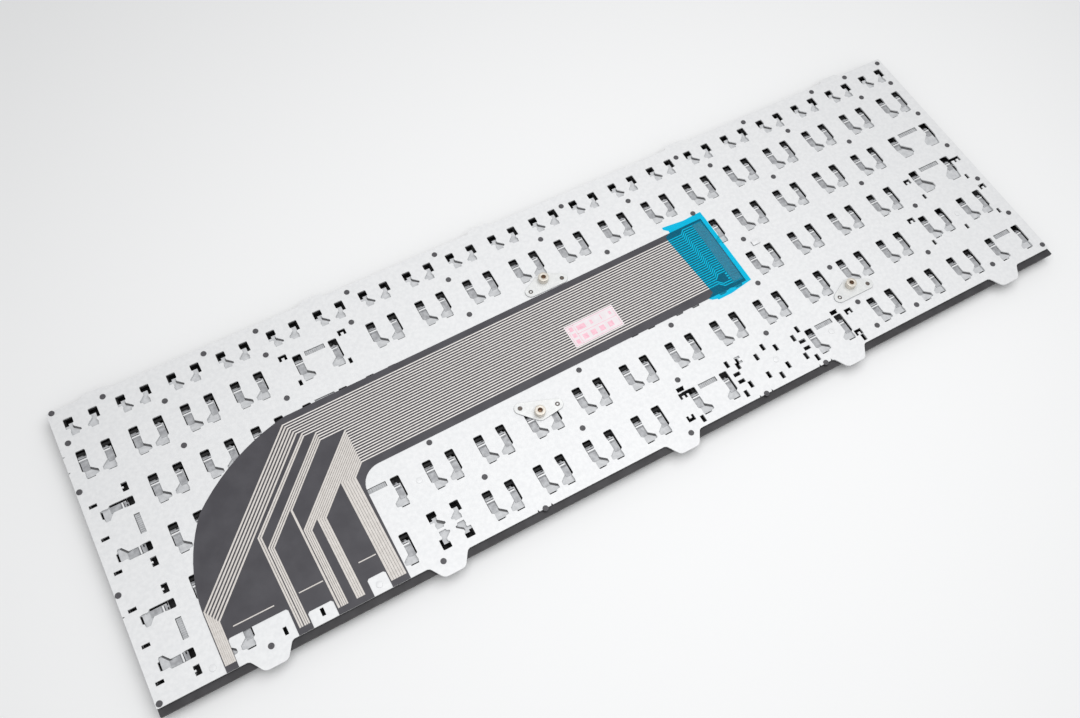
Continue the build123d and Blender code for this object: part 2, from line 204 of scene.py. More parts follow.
# %% A finish with mottling and grain
def mottled(name, dark, light, patch, rough, grain, lift, metallic=0.0, specular=0.5):
    """Two close colours in patches, a gloss that varies and a fine grain, sizes in mm."""
    material = bpy.data.materials.new(name)
    material.use_nodes = True
    nodes, links = material.node_tree.nodes, material.node_tree.links
    shader = nodes["Principled BSDF"]
    dial(shader, Metallic=metallic, Specular_IOR_Level=specular)
    where = nodes.new("ShaderNodeTexCoord")
    patches = nodes.new("ShaderNodeTexNoise")
    dial(patches, Scale=1 / (patch * mm), Detail=4.0)
    colours = nodes.new("ShaderNodeValToRGB")
    for stop, position, colour in zip(colours.color_ramp.elements, (0.35, 0.65), (dark, light)):
        stop.position, stop.color = position, (*colour, 1)
    fine = nodes.new("ShaderNodeTexNoise")
    dial(fine, Scale=1 / (grain * mm))
    gloss = nodes.new("ShaderNodeMapRange")
    dial(gloss, To_Min=rough[0], To_Max=rough[1])
    bump = nodes.new("ShaderNodeBump")
    dial(bump, Strength=0.35, Distance=lift * mm)
    links.new(where.outputs["Object"], patches.inputs["Vector"])
    links.new(where.outputs["Object"], fine.inputs["Vector"])
    links.new(patches.outputs["Fac"], colours.inputs["Fac"])
    links.new(colours.outputs["Color"], shader.inputs["Base Color"])
    links.new(fine.outputs["Fac"], gloss.inputs["Value"])
    links.new(gloss.outputs["Result"], shader.inputs["Roughness"])
    links.new(fine.outputs["Fac"], bump.inputs["Height"])
    links.new(bump.outputs["Normal"], shader.inputs["Normal"])
    return material


zinc_steel = mottled("zinc_steel", (0.74, 0.748, 0.76), (0.79, 0.797, 0.806),
                     1.3, (0.45, 0.62), 0.35, 0.008, 0.2)
# A darker grey of the same steel: painted shade on the hooks and on the sloped sides of the boss plates and pressed
# marks; it also colours the ribs of the guide bars.
shade_and_rib_grey = mottled("shade_and_rib_grey", (0.30, 0.305, 0.32), (0.45, 0.46, 0.475), 1.6, (0.4, 0.55), 0.3, 0.01, 0.2)
nickel_steel = mottled("nickel_steel", (0.68, 0.69, 0.69), (0.75, 0.76, 0.755),
                       1.5, (0.35, 0.5), 0.2, 0.006, 0.25)
boss_nickel = mottled("boss_nickel", (0.60, 0.56, 0.50), (0.72, 0.68, 0.61),
                      0.7, (0.32, 0.45), 0.2, 0.006, 0.35)
thread_brass = mottled("thread_brass", (0.30, 0.20, 0.13), (0.45, 0.33, 0.24),
                       0.4, (0.3, 0.45), 0.1, 0.01, 0.5)
rivet_hollow_shade = mottled("rivet_hollow_shade", (0.06, 0.05, 0.045), (0.16, 0.13, 0.11),
                      0.4, (0.35, 0.5), 0.1, 0.01, 0.2)
wire_steel = mottled("wire_steel", (0.52, 0.52, 0.53), (0.6, 0.6, 0.61), 0.8, (0.25, 0.4), 0.2, 0.004, 0.9)
frame_plastic = mottled("frame_plastic", (0.036, 0.035, 0.038), (0.050, 0.049, 0.053),
                        5, (0.5, 0.62), 0.12, 0.02, 0, 0.35)
stake_plastic = mottled("stake_plastic", (0.055, 0.053, 0.06), (0.085, 0.083, 0.09),
                        0.6, (0.45, 0.6), 0.12, 0.02)
cap_plastic = mottled("cap_plastic", (0.014, 0.014, 0.015), (0.02, 0.02, 0.022), 6, (0.48, 0.6), 0.1, 0.02)
link_plastic = mottled("link_plastic", (0.012, 0.012, 0.013), (0.02, 0.02, 0.021),
                       2, (0.5, 0.6), 0.3, 0.005, 0, 0.2)
dome_rubber = mottled("dome_rubber", (0.56, 0.57, 0.57), (0.64, 0.65, 0.65), 1.5, (0.55, 0.7), 0.2, 0.01)
clear_film = mottled("clear_film", (0.50, 0.51, 0.525), (0.60, 0.61, 0.625), 1.6, (0.4, 0.55), 0.4, 0.01)
bar_plastic = mottled("bar_plastic", (0.42, 0.43, 0.44), (0.52, 0.53, 0.54), 1.2, (0.45, 0.6), 0.3, 0.01)
# Dark grey for painted shadow under the toe gaps.
toe_shadow_paint = mottled("toe_shadow_paint", (0.10, 0.10, 0.105), (0.15, 0.15, 0.155), 1, (0.5, 0.6), 0.3, 0.005)
tail_film = mottled("tail_film", (0.049, 0.047, 0.056), (0.064, 0.062, 0.072),
                    7, (0.42, 0.55), 0.3, 0.008, 0, 0.4)
trace_silver = mottled("trace_silver", (0.76, 0.725, 0.695), (0.86, 0.825, 0.79),
                       1.2, (0.45, 0.6), 0.2, 0.006)
trace_grey = mottled("trace_grey", (0.62, 0.585, 0.55), (0.70, 0.665, 0.63), 1.2, (0.45, 0.6), 0.2, 0.006)
contact_carbon = mottled("contact_carbon", (0.22, 0.225, 0.245), (0.26, 0.265, 0.285),
                         1.0, (0.5, 0.65), 0.2, 0.006)
label_paper = mottled("label_paper", (0.77, 0.72, 0.74), (0.83, 0.78, 0.80), 3, (0.6, 0.75), 0.2, 0.006)
label_pink = mottled("label_pink", (0.84, 0.46, 0.56), (0.90, 0.58, 0.66), 0.8, (0.6, 0.7), 0.2, 0.004)
print(len(bpy.data.materials), "materials")

# %% [markdown]
# ## The key grid
#
# The clips, domes, links and caps all follow the key grid. It is written once,
# from the same pitches as the CAD source: five rows of keys, a shallow function
# row along the far edge and a four-column numeric pad, which lies at the left
# because the keyboard is seen from its back.

# %% Every key: its place, cap size and kind of clip
key_pitch, row_pitch, pad_pitch = 19.0, 18.65, 17.54
pad_left, main_left, main_right, grid_near = 0.9, 71.86, 349.86, 0.3
function_y, function_depth = 99.8, 12.5
cap_gap, half_key_gap = 2.6, 1.7


class Key:
    """One key: name, middle, cap size and kind of clip."""

    def __init__(self, name, x, y, width, depth=row_pitch, clip="plain", gap=cap_gap):
        self.name, self.x, self.y, self.clip = name, x, y, clip
        self.width, self.depth = width - cap_gap, depth - gap

    def dome_places(self):
        """One dome, or two under a key with two clips."""
        spread = {"shift": key_pitch / 2, "double": pad_pitch / 2, "space": 25.2}.get(self.clip)
        return [self.x] if spread is None else [self.x - spread, self.x + spread]


def row_y(row):
    return grid_near + (row + 0.5) * row_pitch


def pad_x(column):
    return pad_left + (column + 0.5) * pad_pitch


def letter_row(row, left, letters, right, right_width, clips):
    """A wide key, the letters, and a wide key at the escape side."""
    start = main_right - right_width - len(letters) * key_pitch
    y = row_y(row)
    keys = [Key("key_" + left, (main_left + start) / 2, y, start - main_left, clip=clips[0])]
    for i, name in enumerate(letters):
        keys.append(Key("key_" + name, start + (i + 0.5) * key_pitch, y, key_pitch))
    keys.append(Key("key_" + right, main_right - right_width / 2, y, right_width, clip=clips[1]))
    return keys


tab_letters = "right_bracket left_bracket p o i u y t r e w q".split()
caps_letters = "quote semicolon l k j h g f d s a".split()
shift_letters = "extra slash period comma m n b v c x z".split()
moving_keys = letter_row(3, "backslash", tab_letters, "tab", 27.3, ("wide", "broad"))
moving_keys += letter_row(2, "enter", caps_letters, "caps_lock", 33.6, ("caps", "caps"))
moving_keys += letter_row(1, "right_shift", shift_letters, "left_shift", 43.4, ("wide", "shift"))
space_left, space_right = main_left + 6 * key_pitch, main_right - 24.2 - 3 * key_pitch
space_x, space_y = (space_left + space_right) / 2, row_y(0)
moving_keys.append(Key("key_space", space_x, space_y, space_right - space_left, clip="space"))

function_pitch = (main_right - main_left) / 16
function_keys = [Key("function", pad_x(i), function_y, pad_pitch, function_depth, "short") for i in range(4)]
for i in range(16):
    x = main_left + (i + 0.5) * function_pitch
    function_keys.append(Key("function", x, function_y, function_pitch, function_depth, "short"))

number_keys = [Key("backspace", main_left + 15.5, row_y(4), 31.0, clip="backspace")]
for i in range(13):
    number_keys.append(Key("number", main_left + 31.0 + (i + 0.5) * key_pitch, row_y(4), key_pitch))

pad_keys = [Key("pad", pad_x(i), row_y(4), pad_pitch) for i in range(4)]
for row in (1, 2, 3):
    pad_keys += [Key("pad", pad_x(i), row_y(row), pad_pitch) for i in (1, 2, 3)]
pad_keys += [Key("pad", pad_x(0), row_y(row), pad_pitch, 2 * row_pitch, "tall") for row in (0.5, 2.5)]
pad_keys += [Key("pad", pad_x(1), row_y(0), pad_pitch)]
pad_keys += [Key("pad", pad_x(2.5), row_y(0), 2 * pad_pitch, clip="double")]

bottom_keys = [Key("arrow", main_left + (i + 0.5) * key_pitch, row_y(0), key_pitch) for i in (0, 2, 3, 4, 5)]
for i in range(3):
    bottom_keys.append(Key("modifier", main_right - 24.2 - (i + 0.5) * key_pitch, row_y(0), key_pitch))
bottom_keys += [Key("left_ctrl", main_right - 12.1, row_y(0), 24.2, clip="wide")]
arrow_x, half_row = main_left + 1.5 * key_pitch, row_pitch / 2
for name, side, clip in (("up", 1, "half"), ("down", -1, "half_turned")):
    y = row_y(0) + side * half_row / 2
    bottom_keys.append(Key(name, arrow_x, y, key_pitch, half_row, clip, half_key_gap))

fixed_rows = {
    "function_row_keys": function_keys,
    "number_row_keys": number_keys,
    "numpad_keys": pad_keys,
    "bottom_row_keys": bottom_keys,
}
fixed_keys = [key for row in fixed_rows.values() for key in row]
all_keys = moving_keys + fixed_keys
print(len(moving_keys), "moving keys and", len(fixed_keys), "fixed ones")

# %% [markdown]
# ## Drawing a flat piece
#
# Most of this object is sheet: steel, film, tape, paper. Each sheet is drawn as
# a maker would: start from one point, extrude it from corner to corner round
# the outline, fill the outline, then extrude the face to its thickness. A
# modelled box would need many cuts to get there, and a curve hides its edges.


# %% Drawing tools
def start_point(name, place):
    """Edit mode on a new piece that is one point, ready to be pulled into shape."""
    piece = added(name, bpy.ops.mesh.primitive_plane_add, size=mm)
    bpy.ops.object.mode_set(mode="EDIT")
    bpy.ops.mesh.select_mode(type="VERT")
    bpy.ops.mesh.merge(type="CENTER")
    bpy.ops.transform.translate(value=place)
    return piece


def pull(step):
    """Extrudes what is selected by a step in metres."""
    bpy.ops.mesh.extrude_region_move(TRANSFORM_OT_translate={"value": step})


def drawn_sheet(name, outline, low, high):
    """A flat piece: its outline on the drawing, between two heights in mm."""
    corners = [spot(x, y, low) for x, y in outline]
    piece = start_point(name, corners[0])
    for here, there in zip(corners, corners[1:]):
        pull(there - here)
    bpy.ops.mesh.select_all(action="SELECT")
    bpy.ops.mesh.edge_face_add()
    pull((0, 0, (high - low) * mm))
    bpy.ops.mesh.select_all(action="SELECT")
    bpy.ops.mesh.normals_make_consistent(inside=False)
    bpy.ops.object.mode_set(mode="OBJECT")
    return piece


def joined(pieces, name):
    """Several pieces made one."""
    deselect_all()
    for piece in pieces:
        piece.select_set(True)
    bpy.context.view_layer.objects.active = pieces[0]
    if len(pieces) > 1:
        bpy.ops.object.join()
    pieces[0].name = name
    return pieces[0]


def copies(tool, places, name):
    """One tool copied to many places, each with its own mesh, then joined."""
    made = []
    for place in places:
        copy = tool.copy()
        copy.data = tool.data.copy()
        copy.data.transform(place)
        if place.determinant() < 0:
            copy.data.flip_normals()
        bpy.context.collection.objects.link(copy)
        made.append(copy)
    return joined(made, name)


def drop(*pieces):
    """Tools leave the scene after use."""
    for piece in pieces:
        bpy.data.objects.remove(piece)


def cut(piece, tool, overlapping=False):
    """Takes the tool's shape out of the piece; parts of the tool may overlap each other."""
    apply_modifier(piece, "BOOLEAN", operation="DIFFERENCE", solver="EXACT",
                   use_self=overlapping, object=tool)
    drop(tool)


def slide(x, y, mirrored=False, turn=0.0):
    """Moves what was drawn about the drawing's corner to a place, turned or mirrored first."""
    home = spot(0, 0)
    flip = Matrix.Diagonal((-1 if mirrored else 1, 1, 1, 1))
    turned = Matrix.Rotation(turn, 4, "Z")
    return Matrix.Translation(spot(x, y)) @ turned @ flip @ Matrix.Translation(-home)


def box_outline(x, y, width, depth):
    """Corners of a rectangle about its middle."""
    u, v = width / 2, depth / 2
    return [(x - u, y - v), (x + u, y - v), (x + u, y + v), (x - u, y + v)]


def arc(x, y, radius, start, end, count):
    """Points along an arc, angles in degrees."""
    angles = [radians(start + (end - start) * i / count) for i in range(count + 1)]
    return [(x + radius * cos(a), y + radius * sin(a)) for a in angles]


print("drawing tools ready")

# %% [markdown]
# ## Where the clips are
#
# Each key hangs on a pair of boot-shaped slots, toes turned inwards. Wide keys
# have a window for their guide bar between the slots, hook slots for a wire
# beside them and small anchor slots below. The lists collected here place both
# the punches of the plate and the openings of the membrane under it.

# %% Slot places, key by key
slot_rise, raised_rise, short_rise, long_rise = 4.6, 5.9, 2.0, 5.8
plain_span, wide_span, zero_span, broad_span = 11.4, 16.4, 17.0, 19.6
anchor_drop, anchor_inset, long_hook_x, long_anchor_x, long_anchor_drop = 5.9, 1.8, 13.9, 12.1, 6.3
space_clip_x = 25.2
boots, broad_boots, short_boots, half_boots = [], [], [], []
windows, broad_windows, hooks, long_hooks = [], [], [], []
anchors, long_anchors, cutouts, blocks = [], [], [], []
slits = [(193.5, 13.7, False, 0.0), (343.6, 50.2, False, 0.0)]
tabs = [(216.6, 15.6, False, pi / 2)]
window_drop = 0.95


def pair(kind, x, top, span):
    """A slot and its mirror image, by their top outer corners."""
    kind.append((x - span / 2, top, False, 0.0))
    kind.append((x + span / 2, top, True, 0.0))


def hook_set(x, y, half_span, rise):
    """Two hook slots for a wire, and two anchor slots below them."""
    for side in (-1, 1):
        hooks.append((x + side * half_span, y + rise, False, 0.0))
        anchors.append((x + side * (half_span - anchor_inset), y - anchor_drop, False, 0.0))


def tall_set(x, y):
    """The clip of a tall key: a wide clip with its hooks and anchors, turned on its side."""
    boots.extend([(x + long_rise, y + 10.0, False, -pi / 2), (x + long_rise, y - 10.0, True, -pi / 2)])
    windows.append((x + long_rise - window_drop, y, False, pi / 2))
    long_hooks.extend([(x + slot_rise, y + v, False, -pi / 2) for v in (-long_hook_x, long_hook_x)])
    for v in (-long_anchor_x, 0, long_anchor_x):
        long_anchors.append((x - long_anchor_drop, y + v, False, -pi / 2))


def zero_set(x, y):
    """The same clip, not turned, under the zero key of the numeric pad."""
    pair(boots, x, y + long_rise, zero_span)
    windows.append((x, y + long_rise - window_drop, False, 0.0))
    long_hooks.extend([(x + u, y + slot_rise, False, 0.0) for u in (-long_hook_x, long_hook_x)])
    for u in (-long_anchor_x, 0, long_anchor_x):
        long_anchors.append((x + u, y - long_anchor_drop, False, 0.0))


def space_set(x, y):
    """Two wide clips, with rows of small cut-outs between and beside them."""
    for side in (-1, 1):
        pair(boots, x + side * space_clip_x, y + slot_rise, wide_span)
        windows.append((x + side * space_clip_x, y + slot_rise - window_drop, False, 0.0))
        cutouts.append((x, y + side * 6.2, False, 0.0))
        for end in (-1, 1):
            for u, v in ((4.2, 3.9), (12.0, 4.0), (15.3, 6.3)):
                cutouts.append((x + side * u, y + end * v, False, 0.0))
            cutouts.append((x + side * 14.2, y + end * 1.5, False, pi / 2))
    hooks.extend([(x + u, y + v, False, 0.0) for u, v in ((-35.6, 3.4), (36.7, 3.8), (34.7, -4.9))])
    hooks.append((x - 37.7, y - 5.0, False, pi))
    blocks.extend([(x - 35.0, y + 5.9, False, 0.0), (x + 31.6, y + 5.9, False, 0.0)])
    cutouts.extend([(x - 34.0, y - 7.1, False, 0.0), (x + 35.2, y - 7.5, False, 0.0)])


for key in all_keys:
    x, y = key.x, key.y
    if key.clip == "plain":
        pair(boots, x, y + slot_rise, plain_span)
    elif key.clip == "short":
        pair(short_boots, x, y + short_rise, plain_span)
    elif key.clip == "half":
        pair(half_boots, x, y + short_rise, plain_span)
    elif key.clip == "half_turned":
        for side, mirrored in ((-1, True), (1, False)):
            half_boots.append((x + side * plain_span / 2, y - short_rise, mirrored, pi))
    elif key.clip in ("wide", "backspace"):
        pair(boots, x, y + slot_rise, wide_span)
        windows.append((x, y + slot_rise - window_drop, False, 0.0))
        if key.clip == "backspace":
            hook_set(x, y, 11.0, 5.6)
    elif key.clip in ("broad", "caps"):
        rise = raised_rise if key.clip == "caps" else slot_rise
        pair(broad_boots, x, y + rise, broad_span)
        broad_windows.append((x, y + rise - window_drop, False, 0.0))
        if key.clip == "caps":
            hook_set(x, y, 12.6, 2.7)
    elif key.clip == "shift":
        pair(boots, x - key_pitch / 2, y + raised_rise, plain_span)
        pair(boots, x + key_pitch / 2, y + raised_rise, plain_span)
        hook_set(x, y, 18.0, 6.1)
        anchors.append((x, y - anchor_drop, False, 0.0))
    elif key.clip == "double":
        zero_set(x, y)
    elif key.clip == "tall":
        tall_set(x, y)
    elif key.clip == "space":
        space_set(x, y)
print(len(boots), "boots,", len(broad_boots), "broad,", len(short_boots + half_boots), "short,",
      len(windows + broad_windows), "windows,", len(hooks + long_hooks), "hooks")

# %% [markdown]
# ## The stamped plate
#
# The real plate is zinc-coated steel, blanked and pierced in a press. The model
# follows the press: the blank is drawn with its lugs, one punch is drawn for
# each kind of slot and copied to every key, and one Boolean takes all of them
# out at once. A tiny bevel leaves the rolled edge that a press makes.

# %% The blank, with lugs along the near edge and low tabs along the far edge
lug_centres = [35.3, 94.8, 183.2, 254.1, 326.8]
lug_half = [(7.5, 0.0), (6.7, -0.35), (6.2, -1.0), (4.7, -3.3), (4.1, -4.2), (3.3, -4.75), (2.4, -4.9)]
tab_centres = [15.8, 94.1, 161.0, 248.0, 324.3]
tab_half = [(4.7, 0.0), (4.2, 0.9), (3.4, 1.4)]
nip = 0.4  # the cut corners of the blank
blank = [(0.0, nip), (nip, 0.0)]
for x in lug_centres:
    blank += [(x - u, v) for u, v in lug_half] + [(x + u, v) for u, v in reversed(lug_half)]
blank += [(plate_width - nip, 0.0), (plate_width, nip)]
blank += [(plate_width, plate_depth - nip), (plate_width - nip, plate_depth)]
for x in reversed(tab_centres):
    half = [(u, plate_depth + v) for u, v in tab_half]
    blank += [(x + u, v) for u, v in half] + [(x - u, v) for u, v in reversed(half)]
blank += [(nip, plate_depth), (0.0, plate_depth - nip)]
plate = drawn_sheet("stamped_plate", blank, plate_z, plate_top_z)
print("blank with", len(blank), "corners")

# %% Outlines of the slots, from their top outer corner downwards
boot = [(0.3, 0), (2.85, 0), (3.15, 0.35), (3.1, 2.7), (2.9, 3.5), (2.9, 7.05), (5.0, 8.75), (5.05, 9.9),
        (4.8, 10.2), (3.75, 10.35), (3.55, 10.9), (0.85, 10.9), (0.6, 9.9), (0.75, 8.2), (0, 7.6), (0, 0.35)]
broad_boot = [(0.3, 0), (3.4, 0), (3.7, 0.35), (3.4, 1.7), (3.2, 4.9), (6.45, 7.9), (6.5, 9.6), (5.3, 10.4),
              (5.2, 10.9), (1.0, 10.9), (0.75, 9.8), (0.45, 8.0), (0, 6.6), (0, 0.35)]
short_boot = [(0.2, 0), (2.9, 0), (3.1, 0.3), (3.1, 2.1), (2.65, 2.6), (2.65, 3.5), (4.65, 5.35), (4.6, 5.95),
              (3.8, 6.25), (3.65, 6.9), (1.25, 6.9), (1.1, 5.5), (1.45, 4.7), (1.2, 4.05), (0, 4.05), (0, 0.3)]
half_boot = [(u, v * 0.9) for u, v in short_boot]
hook = [(-1.45, -1.15), (-0.5, -1.15), (-0.5, -0.05), (0.5, -0.05), (0.5, -1.15), (1.45, -1.15), (1.45, 1.15),
        (-1.45, 1.15)]
long_hook = [(-1.6, -1.0), (-0.3, -1.0), (-0.3, -0.4), (0.3, -0.4), (0.3, -1.0), (1.6, -1.0), (1.6, 1.0),
             (-1.6, 1.0)]
punch_low_z, punch_high_z = 4.0, 6.5
nick_places = [(x + u, 0.1, False, 0.0) for x in (129.9, 218.1, 243.9) for u in (-2.5, 2.5)]
nick_places += [(0.1, y, False, -pi / 2) for y in (88.65, 82.56, 37.0, 30.1)]


def down(points):
    """Slots are drawn from their top corner downwards."""
    return [(u, -v) for u, v in points]


def punch(name, outline, slots, low=punch_low_z, high=punch_high_z):
    """A punch drawn at the drawing's corner and copied to all its slots."""
    tool = drawn_sheet(name, outline, low, high)
    made = copies(tool, [slide(*slot) for slot in slots], name + "_set")
    drop(tool)
    return made


print("slot outlines ready")

# %% One cut with all the punches
punches = [
    punch("boot_punch", down(boot), boots),
    punch("broad_punch", down(broad_boot), broad_boots),
    punch("short_punch", down(short_boot), short_boots),
    punch("half_punch", down(half_boot), half_boots),
    punch("window_punch", box_outline(0, 0, 7.2, 1.9), windows),
    punch("broad_window_punch", box_outline(0, 0, 9.0, 1.9), broad_windows),
    punch("hook_punch", hook, hooks),
    punch("long_hook_punch", long_hook, long_hooks),
    punch("anchor_punch", box_outline(0, 0, 1.2, 2.2), anchors),
    punch("long_anchor_punch", box_outline(0, 0, 1.2, 2.6), long_anchors),
    punch("cutout_punch", box_outline(0, 0, 1.45, 2.65), cutouts),
    punch("block_punch", [(-1.6, -0.85), (1.1, -0.85), (1.3, 0.3), (1.6, 0.85), (-1.6, 0.85)], blocks),
    punch("nick_punch", [(-0.55, -0.6), (0.55, -0.6), (0.0, 0.7)], nick_places),
]
cut(plate, joined(punches, "punches"))
cut(plate, punch("slit_punch", box_outline(0, 0, 3.4, 1.25), slits))
cut(plate, punch("tab_punch", hook, tabs))
round_edges(plate, 0.07)
bpy.ops.object.shade_flat()
coat(plate, zinc_steel)
settle(plate, "plate_steel", "back_plate")
print("plate has", len(plate.data.polygons), "faces")

# %% [markdown]
# ## The membrane under the slots
#
# Through each slot shows the membrane, a stack of clear films over grey print.
# It is open behind the top of every slot, where the clip passes down to the
# scissor link, so that corner looks black. Narrow gaps along the toe and the
# sole look like dark lines. The toe gaps and the openings along the sides are
# partly real gaps and partly painted shadow of the plate's edges: the black
# under them, and dark grey sheets under the toe gaps, stand for that shadow.
# One sheet stands for the films, with its openings punched like the plate's.

# %% Membrane with its openings
membrane_width, membrane_depth, membrane_top_z, shade_top_z = 347.66, 103.85, 4.76, frame_top_z + 0.04


def by_side(slots):
    """Slots open like a left one, and like a right one; a clip on its side swaps them."""
    return [[slot for slot in slots if (slot[2] == (slot[3] < 0)) == left] for left in (True, False)]


left_boots, right_boots = by_side(boots)
left_broad, right_broad = by_side(broad_boots)
shallow_boots = short_boots + half_boots
left_shallow, right_shallow = by_side(shallow_boots)
upright_boots = [slot for slot in boots if slot[3] == 0]
turned_boots = [slot for slot in boots if slot[3] != 0]
films = box_outline(plate_width / 2, plate_depth / 2, membrane_width, membrane_depth)
membrane = drawn_sheet("membrane", films, frame_top_z, membrane_top_z)
# Toe gaps: partly a real gap, partly painted shadow under the toe's edge.
toe_shadow_gap = down([(2.5, 6.9), (2.9, 6.7), (5.2, 8.6), (5.2, 9.5), (4.7, 9.25), (2.65, 7.65)])
broad_toe_shadow_gap = down([(2.9, 4.9), (3.3, 4.7), (6.7, 7.7), (6.7, 9.0), (5.7, 8.3), (3.0, 5.9)])
short_toe_shadow_gap = down([(2.2, 3.0), (2.8, 2.9), (4.8, 5.0), (4.8, 5.7), (4.2, 5.5), (2.3, 4.0)])
openings = [
    punch("clip_opening", box_outline(1.6, -1.2, 3.6, 2.8), boots),
    # Openings along the outer sides show black: partly real gaps, partly painted shadow along those edges.
    punch("side_shadow_opening", box_outline(-0.2, -4.9, 1.4, 5.8), right_boots),
    punch("left_shadow_opening", box_outline(-0.3, -4.9, 1.1, 5.8), left_boots),
    punch("toe_shadow_gap", toe_shadow_gap, left_boots),
    punch("sole_gap", box_outline(2.1, -10.6, 2.6, 0.6), upright_boots),
    punch("turned_sole_gap", box_outline(2.9, -10.6, 4.0, 0.6), turned_boots),
    punch("broad_opening", box_outline(1.75, -1.0, 4.1, 2.5), broad_boots),
    punch("wedge_gap", down([(0.9, 1.3), (1.5, 1.3), (1.25, 3.8), (0.95, 3.8)]), left_broad),
    punch("broad_toe_shadow_gap", broad_toe_shadow_gap, left_broad),
    punch("broad_side", down([(-0.9, 1.3), (0.9, 1.3), (0.6, 3.5), (0.5, 7.6), (-0.9, 7.6)]), right_broad),
    punch("broad_sole_gap", box_outline(3.0, -10.65, 3.8, 0.5), broad_boots),
    punch("short_opening", box_outline(1.55, -0.85, 3.5, 2.1), shallow_boots),
    punch("short_side", box_outline(0.25, -2.0, 1.7, 4.4), right_shallow),
    punch("short_slope", box_outline(0.5, -2.2, 1.4, 1.0), left_shallow),
    punch("short_toe_shadow_gap", short_toe_shadow_gap, left_shallow),
    punch("window_opening", box_outline(0, 0, 7.6, 2.3), windows),
    punch("broad_window_opening", box_outline(0, 0, 9.4, 2.3), broad_windows),
    punch("hook_opening", box_outline(0, 0, 3.3, 2.7), hooks + long_hooks + blocks + slits),
    punch("anchor_opening", box_outline(0, 0, 1.6, 2.9), anchors + long_anchors + cutouts),
    punch("tab_opening", box_outline(-0.2, 0.3, 2.6, 0.9), tabs),
]
cut(membrane, joined(openings, "openings"), overlapping=True)
coat(membrane, clear_film)
# Dark grey sheets under the toe gaps: painted shadow of the toe edges.
shades = joined([punch("toe_shade", gap, slots, frame_top_z, shade_top_z) for gap, slots in (
    (toe_shadow_gap, left_boots), (broad_toe_shadow_gap, left_broad), (short_toe_shadow_gap, left_shallow))], "toe_shades")
coat(shades, toe_shadow_paint)
settle(shades, "film_clear")
settle(membrane, "film_clear", "upper_film", "spacer_film")
print("membrane has", len(membrane.data.polygons), "faces")

# %% [markdown]
# ## Clip hooks and guide bars
#
# Each slot holds a hook bent from the plate's own steel. It comes up out of the
# black corner, crosses the slot as a bright bridge, dips again and lies along
# the leg. Only the bridge keeps the plate's bright steel; the dip is painted
# black and the rest a darker grey, as painted shade. It is made by pulling one
# edge along its bends, then given its thickness and copied. The guide bars
# behind the windows are small ribbed bars.


# %% Hooks of the left and right slots
def bent_strip(name, bends, thickness):
    """A strip pulled edge by edge through its bends, each a (left, right), a distance and a height."""
    (left, right), run, height = bends[0]
    strip = start_point(name, spot(left, -run, height))
    pull(((right - left) * mm, 0, 0))
    bpy.ops.mesh.select_all(action="SELECT")
    for ((l0, r0), run0, height0), ((l1, r1), run1, height1) in zip(bends, bends[1:]):
        pull(((l1 + r1 - l0 - r0) / 2 * mm, (run0 - run1) * mm, (height1 - height0) * mm))
        middle = spot((l1 + r1) / 2, -run1, height1)
        bpy.ops.transform.resize(value=((r1 - l1) / (r0 - l0), 1, 1), center_override=middle)
    bpy.ops.object.mode_set(mode="OBJECT")
    apply_modifier(strip, "SOLIDIFY", thickness=thickness * mm, offset=0.0)
    return strip


strip_thickness, bridge_run, dip_run = 0.12, (3.5, 3.95), (3.2, 3.42)
catch_low_z, catch_high_z, broad_stretch = 5.3, 5.46, 1.12


def paint_hook_shade(strip):
    """The bridge keeps the plate's finish; the dip before it is painted black and the rest a darker grey, as painted
    shade.
    """
    for material in (shade_and_rib_grey, zinc_steel, link_plastic):
        strip.data.materials.append(material)
    for face in strip.data.polygons:
        run = -(face.center.y / mm - plate_near_y)
        on_bridge, in_dip = (low < run < high for low, high in (bridge_run, dip_run))
        face.material_index = 1 if on_bridge else 2 if in_dip else 0


def clip_hook(bends, stretch=1.0):
    """One hook with its dark catch, stretched for a broader slot."""
    fitted = [((left * stretch, right * stretch), run, height) for (left, right), run, height in bends]
    strip = bent_strip("strip", fitted, strip_thickness)
    paint_hook_shade(strip)
    catch = drawn_sheet("catch", box_outline(2.45 * stretch, -2.4, 0.75, 0.4), catch_low_z, catch_high_z)
    coat(catch, link_plastic)
    return joined([strip, catch], "clip_hook")


left_bends = [((0.15, 2.95), 1.9, 4.75), ((0.15, 3.0), 2.65, 5.36), ((0.15, 3.0), 2.75, 5.44),
              ((0.15, 3.0), 3.2, 5.44), ((0.15, 2.95), 3.3, 5.3), ((0.15, 2.9), 3.5, 5.48),
              ((0.15, 2.9), 3.95, 5.48), ((0.3, 2.75), 4.4, 4.9), ((0.3, 2.6), 7.7, 4.86)]
right_bends = [((1.5, 3.0), 2.0, 4.9), ((1.4, 3.0), 2.6, 5.36), ((1.2, 3.0), 2.75, 5.44),
               ((1.1, 3.0), 3.2, 5.44), ((1.05, 2.95), 3.3, 5.3), ((1.0, 2.9), 3.5, 5.48),
               ((1.0, 2.9), 3.95, 5.48), ((0.6, 2.75), 4.5, 4.9), ((0.55, 2.7), 7.9, 4.86)]
broad_left_bends = left_bends[:-1] + [((0.4, 2.6), 6.2, 4.86)]
broad_right_bends = right_bends[:-1] + [((0.7, 2.6), 6.2, 4.86)]
hook_sets = []
for bends, slots, stretch in ((left_bends, left_boots, 1.0), (right_bends, right_boots, 1.0),
                              (broad_left_bends, left_broad, broad_stretch),
                              (broad_right_bends, right_broad, broad_stretch)):
    one_hook = clip_hook(bends, stretch)
    hook_sets.append(copies(one_hook, [slide(*slot) for slot in slots], "clip_hooks"))
    drop(one_hook)
clip_hooks = joined(hook_sets, "clip_hooks")
